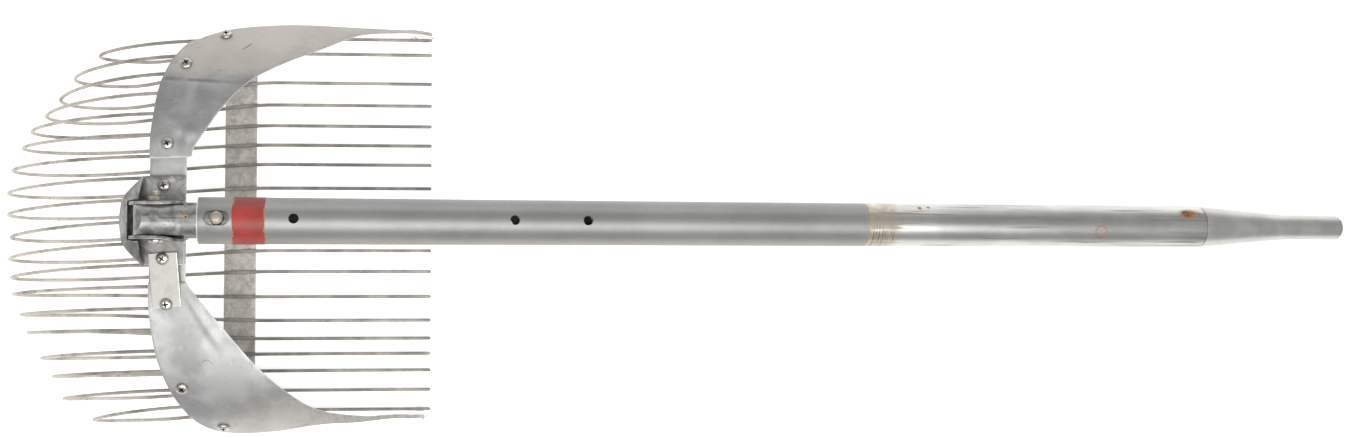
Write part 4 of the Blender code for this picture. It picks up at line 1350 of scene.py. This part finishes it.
def hex_nut(corner, height, hole):
    """A hexagon nut standing on Z = 0, its corners chamfered."""
    flat = corner * cos(pi / 6)
    chamfer = turned(((0, 0), (0, flat * 0.98), (height * 0.14, corner * 1.01),
                      (height * 0.86, corner * 1.01), (height, flat * 0.98), (height, 0)),
                     'Z', 36)
    bore = turned(((-0.001, 0), (-0.001, hole), (height + 0.001, hole), (height + 0.001, 0)),
                  'Z', 24)
    return carved(rod(corner, 0, height, 6), ('INTERSECT', chamfer), ('DIFFERENCE', bore))


class MakeFasteners(bpy.types.Operator):
    """Make the eight cross-recess screws and their nuts"""
    bl_idname = "rake.fasteners"
    bl_label = "Screws and nuts"

    def execute(self, context):
        steel = bpy.data.materials["bright steel"]
        dark = bpy.data.materials["dark steel"]
        head_profile = ((0, 0), (0, SCREW_HEAD - 0.0001), (0.0002, SCREW_HEAD),
                        (0.0009, SCREW_HEAD), (0.0014, 0.0036), (0.0018, 0.0030),
                        (0.0021, 0.0019), (0.0022, 0))
        recess = [("DIFFERENCE", placed(
            box((-0.0020, -0.0005, 0.0009), (0.0020, 0.0005, 0.0030)),
            Matrix.Rotation(turn, 4, 'Z'))) for turn in (0, pi / 2)]
        recess.append(("DIFFERENCE", turned(((0.0007, 0), (0.0008, 0.0006), (0.0030, 0.0013),
                                             (0.0030, 0)), 'Z', 16)))
        head_mesh = carved(turned(head_profile, 'Z', 36), *recess)
        shaft_mesh = mesh_from(turned(
            [(SCREW_TAIL, 0), (SCREW_TAIL, SCREW_RADIUS * 0.8)]
            + thread(SCREW_RADIUS, SCREW_TAIL + 0.0003, 0.0028) + [(0.0030, 0)], 'Z', 20))
        for mesh in (head_mesh, shaft_mesh):
            # The recess attribute marks the cross recess for its painted shade and dirt.
            dirt_and_shade = mesh.attributes.new("recess", 'FLOAT', 'POINT')
            for vert, value in zip(mesh.vertices, dirt_and_shade.data):
                inside = vert.co.xy.length < 0.0021 and 0.0006 < vert.co.z < 0.0017
                value.value = float(inside and mesh is head_mesh)
        head = link("screw_head_shape", head_mesh)
        shaft = link("screw_shaft_shape", shaft_mesh)
        nut_mesh = hex_nut(NUT_ACROSS / sqrt(3), NUT_THICKNESS, SCREW_HOLE)
        nut_mesh.transform(Matrix.Translation((0, 0, -NUT_DROP - NUT_THICKNESS)))
        nut = link("nut_shape", nut_mesh)
        tree = fastener_tree()
        heads, roots = [], []
        for x, y, seat, tilt, spin in SCREWS.values():
            at = screw_frame(x, y, tilt)
            up = (at.to_3x3() @ Vector((0, 0, 1))).normalized()
            heads.append((at.translation + up * seat, up, spin))
            roots.append((at.translation, up, spin))
        made = {}
        for word, shape, places, finish in (("heads", head, heads, steel),
                                            ("shafts", shaft, roots, steel),
                                            ("nuts", nut, roots, dark)):
            made[word] = grown(tree, points_mesh(places), {
                "Fastener": shape, "Size": 1.0, "Material": finish})
        both = bmesh.new()
        both.from_mesh(made["heads"])
        both.from_mesh(made["shafts"])
        remove(head, shaft, nut)
        piece("screws", mesh_from(both), "head", steel, *(f"screw_{n}" for n in SCREWS),
              slot_name="bright_steel", crease=40)
        piece("nuts", made["nuts"], "head", dark, *(f"nut_{n}" for n in SCREWS),
              slot_name="dark_steel")
        return {'FINISHED'}


class MakeNamePlate(bpy.types.Operator):
    """Make the blank name plate"""
    bl_idname = "rake.name_plate"
    bl_label = "Name plate"

    def execute(self, context):
        grid = []
        for r in range(36):
            y = -0.0175 + 0.035 * r / 35
            grid.append([Vector((-0.009 + 0.018 * c / 18, y, 0)) for c in range(19)])
        bm = sheet(grid, 0.0006, lambda p: 0.05 * MM * (1 + noise.noise(p * 110)), 0.00015)
        mesh = mesh_from(placed(bm, name_plate_frame()))
        finish = name_plate_finish(colour(settings()[0].label_colour))
        piece("label_plate", mesh, "head", finish, "name_plate", slot_name="plate_face")
        return {'FINISHED'}


# ---------------------------------------------------------------- the handle's pieces

def on_handle(mesh):
    mesh.transform(HANDLE)
    return mesh


def slot_outline(radius, sides=48):
    outline = []
    for step in range(sides):
        angle = 2 * pi * (step + 0.5) / sides
        shift = SLOT_HALF_TRAVEL if cos(angle) > 0 else -SLOT_HALF_TRAVEL
        outline.append((SLOT_X + shift + radius * cos(angle), radius * sin(angle)))
    return outline


SHANK_COLOUR = (0.36, 0.36, 0.345)
SHANK_BACK = -0.016
SHANK_THROUGH = 0.02            # cutters reach at least this far past the shank
SMALL_HOLE_X = 0.0192
SMALL_HOLE_RADIUS = 0.0009
SMALL_HOLE_TURN = radians(-9)
BUTTON_BORE_RADIUS = 0.0045
SPRING_BORE_RADIUS = 0.0055
SPRING_BORE = (-0.008, 0.0046)


class MakeShank(bpy.types.Operator):
    """Make the cheeked shank that turns on the hinge bolt inside the tube"""
    bl_idname = "rake.shank"
    bl_label = "Hinge shank"

    def execute(self, context):
        finish = shank_finish(SHANK_COLOUR)
        body = turned(((SHANK_BACK, 0), (SHANK_BACK, SHANK_RADIUS), (SHANK_LENGTH - MM, SHANK_RADIUS),
                       (SHANK_LENGTH, SHANK_RADIUS - MM), (SHANK_LENGTH, 0)))
        side = [(SHANK_ROUND * cos(pi / 2 + pi * i / 32), SHANK_ROUND * sin(pi / 2 + pi * i / 32))
                for i in range(33)]
        side += [(0.08, -SHANK_ROUND), (0.08, SHANK_ROUND)]
        far = SHANK_THROUGH
        cheeks = [('DIFFERENCE', box((-far, low, -far), (SHANK_SHOULDER, high, far)))
                  for low, high in ((SHANK_CHEEK, far), (-far, -SHANK_CHEEK))]
        rolled = Matrix.Rotation(-ROLL, 4, 'X') @ Matrix.Translation((SLOT_X, 0, 0))
        hinge_hole = placed(rod(BOLT_HOLE_RADIUS, -far, far, 32),
                            Matrix.Rotation(pi / 2, 4, 'X'))
        small_hole = placed(rod(SMALL_HOLE_RADIUS, 0.008, far, 20),
                            Matrix.Rotation(SMALL_HOLE_TURN, 4, 'X')
                            @ Matrix.Translation((SMALL_HOLE_X, 0, 0)))
        mesh = carved(body, ('INTERSECT', extruded(side, -0.013, 0.013)), *cheeks,
                      ('DIFFERENCE', hinge_hole),
                      ('DIFFERENCE', placed(rod(BUTTON_BORE_RADIUS, 0, far), rolled)),
                      ('DIFFERENCE', placed(rod(SPRING_BORE_RADIUS, *SPRING_BORE), rolled)),
                      ('DIFFERENCE', small_hole), bevel=0.0003)
        piece("shank", on_handle(mesh), "handle", finish, "hinge_shank",
              slot_name="shank_aluminium")
        return {'FINISHED'}


BUTTON_DOME = 0.0017
BUTTON_DOME_STEPS = 12
BUTTON_DOME_POWER = 0.62        # below 1 keeps the dome's shoulder full


class MakeButton(bpy.types.Operator):
    """Make the domed release button and paint its spring"""
    bl_idname = "rake.button"
    bl_label = "Release button"

    def execute(self, context):
        low, high = BUTTON_FOOT
        profile = [(low, 0), (low, BUTTON_FOOT_RADIUS - 0.0003),
                   (low + 0.0003, BUTTON_FOOT_RADIUS), (high - 0.0002, BUTTON_FOOT_RADIUS),
                   (high, BUTTON_FOOT_RADIUS - 0.0002), (high, BUTTON_RADIUS)]
        for step in range(BUTTON_DOME_STEPS):
            angle = pi / 2 * step / BUTTON_DOME_STEPS
            profile.append((BUTTON_TOP - BUTTON_DOME * (1 - sin(angle)),
                            BUTTON_RADIUS * cos(angle) ** BUTTON_DOME_POWER))
        profile.append((BUTTON_TOP, 0))
        mesh = mesh_from(turned(profile, 'Z', 64))
        mesh.transform(ROLLED @ Matrix.Translation((SLOT_X, 0, 0)))
        piece("button", mesh, "button", button_finish(), "release_button",
              slot_name="bright_steel")
        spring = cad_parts["button_spring"]
        spring.material_slots[0].material = bpy.data.materials["dark steel"]
        return {'FINISHED'}


class MakeTube(bpy.types.Operator):
    """Make the long tube with its slot and holes"""
    bl_idname = "rake.tube"
    bl_label = "Handle tube"

    def execute(self, context):
        handle = settings()[1]
        finish = coat_finish(colour(handle.coat_colour), colour(handle.bare_colour))
        rim = 0.0004
        profile = [(TUBE_START, TUBE_BORE + rim), (TUBE_START, TUBE_RADIUS - rim),
                   (TUBE_START + rim * 0.3, TUBE_RADIUS - rim * 0.3),
                   (TUBE_START + rim, TUBE_RADIUS)]
        profile += [(TUBE_START + (TUBE_END - TUBE_START) * i / 12, TUBE_RADIUS)
                    for i in range(1, 12)]
        profile += [(TUBE_END - rim, TUBE_RADIUS), (TUBE_END, TUBE_RADIUS - rim),
                    (TUBE_END, TUBE_BORE), (TUBE_START + rim, TUBE_BORE)]
        roll = Matrix.Rotation(-ROLL, 4, 'X')
        steps = [('DIFFERENCE', placed(extruded(slot_outline(SLOT_RADIUS), 0.006, 0.020, 'Z'),
                                       roll))]
        for x, lean, walls in HOLES:
            at = Matrix.Translation((x, 0, 0.0133)) @ Matrix.Rotation(lean, 4, 'Y') \
                @ Matrix.Translation((0, 0, -0.0133))
            steps.append(('DIFFERENCE', placed(rod(HOLE_RADIUS, 0.004 if walls == 1 else -0.02,
                                                   0.02), roll @ at)))
        steps.append(('DIFFERENCE', pin_rod(PIN_RADIUS + 0.0001, 0.02)))
        piece("tube", on_handle(carved(turned(profile), *steps)), "handle", finish,
              "handle_tube", slot_name="handle_coat")
        return {'FINISHED'}


def pin_rod(radius, reach):
    return placed(rod(radius, -reach, reach), Matrix.Translation((PIN_X, 0, 0))
                  @ Matrix.Rotation(-PIN_ROLL, 4, 'X'))


PAINT_HEIGHTS = (0.00004, 0.00014)
# lift off the noise, then amplitude in mm and frequency of its two waves
RED_EDGES = ((0, 0.5, 7, 0.3, 31), (9, 0.6, 6, 0.3, 27))


def ragged_edge(x, around, wave):
    """A place along the tube that wanders as it goes round it."""
    lift, broad, broad_pitch, fine, fine_pitch = wave
    lift = Vector((0, 0, lift))
    return x + broad * MM * noise.noise(around * broad_pitch + lift) \
        + fine * MM * noise.noise(around * fine_pitch + lift)


class MakeRedBand(bpy.types.Operator):
    """Make the painted band round the tube"""
    bl_idname = "rake.red_band"
    bl_label = "Red band"

    def execute(self, context):
        sides, rows = 128, 20
        inner, outer = (TUBE_RADIUS + height for height in PAINT_HEIGHTS)
        bm = bmesh.new()
        rings = []
        layout = [(i / rows, outer) for i in range(rows + 1)]
        layout += [(i / rows, inner) for i in range(rows, -1, -1)]
        for part, radius in layout:
            ring = []
            for i in range(sides):
                angle = 2 * pi * i / sides
                around = Vector((cos(angle), sin(angle), 0))
                start, end = (ragged_edge(x, around, wave)
                              for x, wave in zip(RED_BAND, RED_EDGES))
                ring.append(bm.verts.new((start + (end - start) * part,
                                          radius * cos(angle), radius * sin(angle))))
            rings.append(ring)
        for first, second in zip(rings, rings[1:] + rings[:1]):
            for i in range(sides):
                j = (i + 1) % sides
                bm.faces.new((first[i], first[j], second[j], second[i]))
        finish = red_finish(colour(settings()[1].band_colour))
        piece("painted_band", on_handle(mesh_from(bm)), "handle", finish, "red_band",
              slot_name="red_paint")
        return {'FINISHED'}


COLLAR_LENGTH = 0.003
TURNING_CLEARANCE = 0.0001
TAPER_STEPS = 24
TAPER_EASE = 0.2                # how far the taper bows off a straight cone
PIN_ROUNDING = (0.0004, 0.0006)


class MakeEndFitting(bpy.types.Operator):
    """Make the tapered end fitting and the pin that holds it"""
    bl_idname = "rake.end_fitting"
    bl_label = "End fitting"

    def execute(self, context):
        handle = settings()[1]
        profile = [(TUBE_END - PLUG_LENGTH, 0), (TUBE_END - PLUG_LENGTH, SHANK_RADIUS),
                   (TUBE_END + GAP, SHANK_RADIUS), (TUBE_END + GAP, TUBE_RADIUS - 2 * GAP),
                   (TUBE_END + 2 * GAP, TUBE_RADIUS - GAP),
                   (TUBE_END + COLLAR_LENGTH, TUBE_RADIUS - GAP - TURNING_CLEARANCE)]
        taper_start, taper_end = TUBE_END + COLLAR_LENGTH, END_TAPER_END
        wide, narrow = TUBE_RADIUS - GAP - TURNING_CLEARANCE, END_RADIUS + GAP
        for step in range(1, TAPER_STEPS):
            part = step / TAPER_STEPS
            ease = (1 - TAPER_EASE) * part + TAPER_EASE * smooth_step(part)
            profile.append((taper_start + (taper_end - taper_start) * part,
                            wide + (narrow - wide) * ease))
        profile += [(taper_end, narrow), (taper_end + 0.003, END_RADIUS + TURNING_CLEARANCE),
                    (taper_end + 0.008, END_RADIUS)]
        for step in range(9):
            angle = pi / 2 * step / 8
            profile.append((HANDLE_REACH - END_ROUND * (1 - sin(angle)),
                            END_RADIUS - END_ROUND * (1 - cos(angle))))
        profile.append((HANDLE_REACH, 0))
        mesh = carved(turned(profile), ('DIFFERENCE', pin_rod(PIN_RADIUS + GAP, 0.02)))
        piece("fitting", on_handle(mesh), "handle",
              fitting_finish(colour(handle.bare_colour)), "end_fitting",
              slot_name="bare_aluminium")
        reach = TUBE_RADIUS - GAP
        deep, wide = PIN_ROUNDING
        ends = [(reach - deep * (1 - sin(pi / 2 * i / 4)),
                 PIN_RADIUS - wide * (1 - cos(pi / 2 * i / 4))) for i in range(5)]
        profile = [(-reach, 0)] + [(-a, r) for a, r in reversed(ends)] + ends + [(reach, 0)]
        bm = placed(turned(profile, 'Z', 40), Matrix.Translation((PIN_X, 0, 0))
                    @ Matrix.Rotation(-PIN_ROLL, 4, 'X'))
        piece("pin", on_handle(mesh_from(bm)), "handle",
              rust_finish(colour(handle.rust_colour)), "end_pin", slot_name="rusty_steel")
        return {'FINISHED'}


# ---------------------------------------------------------------- the stage

FLOOR_SIZE = 8
FLOOR_DROP = 0.0006             # keeps the floor off the underside of the strap
SKY_COLOUR = (0.95, 0.97, 1.0, 1)
# name, place, size and tint of each light
KEY_LIGHT = ("key light", (0.30, -0.45, 1.35), (1.7, 0.8), (1.0, 0.99, 0.97))
REAR_LIGHT = ("rear light", (0.25, 1.50, 0.55), (1.8, 0.5), (1.0, 0.98, 0.95))
LIGHTS_AIM = (0.30, 0, 0)
CAMERA_AT = (0.2137, -0.030, 1.0724)
CAMERA_AIM = (0.3075, 0.006, 0)
SENSOR_WIDTH = 36
CLIPPING = (0.01, 50)


class MakeStage(bpy.types.Operator):
    """Make the floor, the soft lights and the camera"""
    bl_idname = "rake.stage"
    bl_label = "Stage"

    def execute(self, context):
        stage = settings()[2]
        scene = context.scene
        bm = bmesh.new()
        bmesh.ops.create_grid(bm, x_segments=1, y_segments=1, size=FLOOR_SIZE)
        bmesh.ops.translate(bm, verts=bm.verts, vec=(0, 0, -FLOOR_DROP))
        floor = link("floor", mesh_from(bm))
        floor.data.materials.append(floor_finish(colour(stage.floor_colour), stage.floor_glow))

        world = bpy.data.worlds.new("plain sky")
        world.use_nodes = True
        sky = world.node_tree.nodes["Background"]
        sky.inputs["Color"].default_value = SKY_COLOUR
        sky.inputs["Strength"].default_value = stage.sky_strength
        scene.world = world

        self.area_light(stage.key_power, *KEY_LIGHT)
        self.area_light(stage.rear_power, *REAR_LIGHT)

        data = bpy.data.cameras.new("camera")
        data.lens = stage.lens
        data.sensor_width = SENSOR_WIDTH
        data.clip_start, data.clip_end = CLIPPING
        camera = bpy.data.objects.new("camera", data)
        camera.location = CAMERA_AT
        back = (camera.location - Vector(CAMERA_AIM)).normalized()
        right = Vector((0, 1, 0)).cross(back).normalized()
        turn = Matrix((right, back.cross(right), back)).transposed()
        camera.rotation_mode = 'QUATERNION'
        camera.rotation_quaternion = turn.to_quaternion()
        scene.collection.objects.link(camera)
        scene.camera = camera
        scene.view_settings.view_transform = 'Standard'
        return {'FINISHED'}

    @staticmethod
    def area_light(power, name, location, size, tint):
        data = bpy.data.lights.new(name, 'AREA')
        data.shape = 'RECTANGLE'
        data.size, data.size_y = size
        data.energy = power
        data.color = tint
        light = bpy.data.objects.new(name, data)
        light.location = location
        aim = Vector(LIGHTS_AIM) - light.location
        light.rotation_mode = 'QUATERNION'
        light.rotation_quaternion = aim.to_track_quat('-Z', 'Y')
        light.visible_camera = False
        bpy.context.scene.collection.objects.link(light)


# ---------------------------------------------------------------- the add-on

PIECES = (MakeTines, MakeWireEnds, MakeStrap, MakeSheets, MakeBracket, MakeHingeBolt,
          MakeFasteners, MakeNamePlate, MakeShank, MakeButton, MakeTube, MakeRedBand,
          MakeEndFitting, MakeStage)


class RakePanel(bpy.types.Panel):
    """The pieces, and the sizes and colours that can be changed"""
    bl_idname = "VIEW3D_PT_scoop_rake"
    bl_label = "Scoop rake"
    bl_space_type = 'VIEW_3D'
    bl_region_type = 'UI'
    bl_category = "Scoop rake"

    def draw(self, context):
        for group in settings():
            box_layout = self.layout.box()
            for name in group.__annotations__:
                box_layout.prop(group, name)
        for operator in PIECES:
            self.layout.operator(operator.bl_idname)


CLASSES = (BasketSettings, HandleSettings, StageSettings, *PIECES, RakePanel)


def register():
    for cls in CLASSES:
        bpy.utils.register_class(cls)
    bpy.types.Scene.rake_basket = PointerProperty(type=BasketSettings)
    bpy.types.Scene.rake_handle = PointerProperty(type=HandleSettings)
    bpy.types.Scene.rake_stage = PointerProperty(type=StageSettings)


def unregister():
    del bpy.types.Scene.rake_basket, bpy.types.Scene.rake_handle, bpy.types.Scene.rake_stage
    for cls in reversed(CLASSES):
        bpy.utils.unregister_class(cls)


def main():
    register()
    for operator in PIECES:
        group, name = operator.bl_idname.split(".")
        getattr(getattr(bpy.ops, group), name)()


if __name__ == "__main__":
    main()
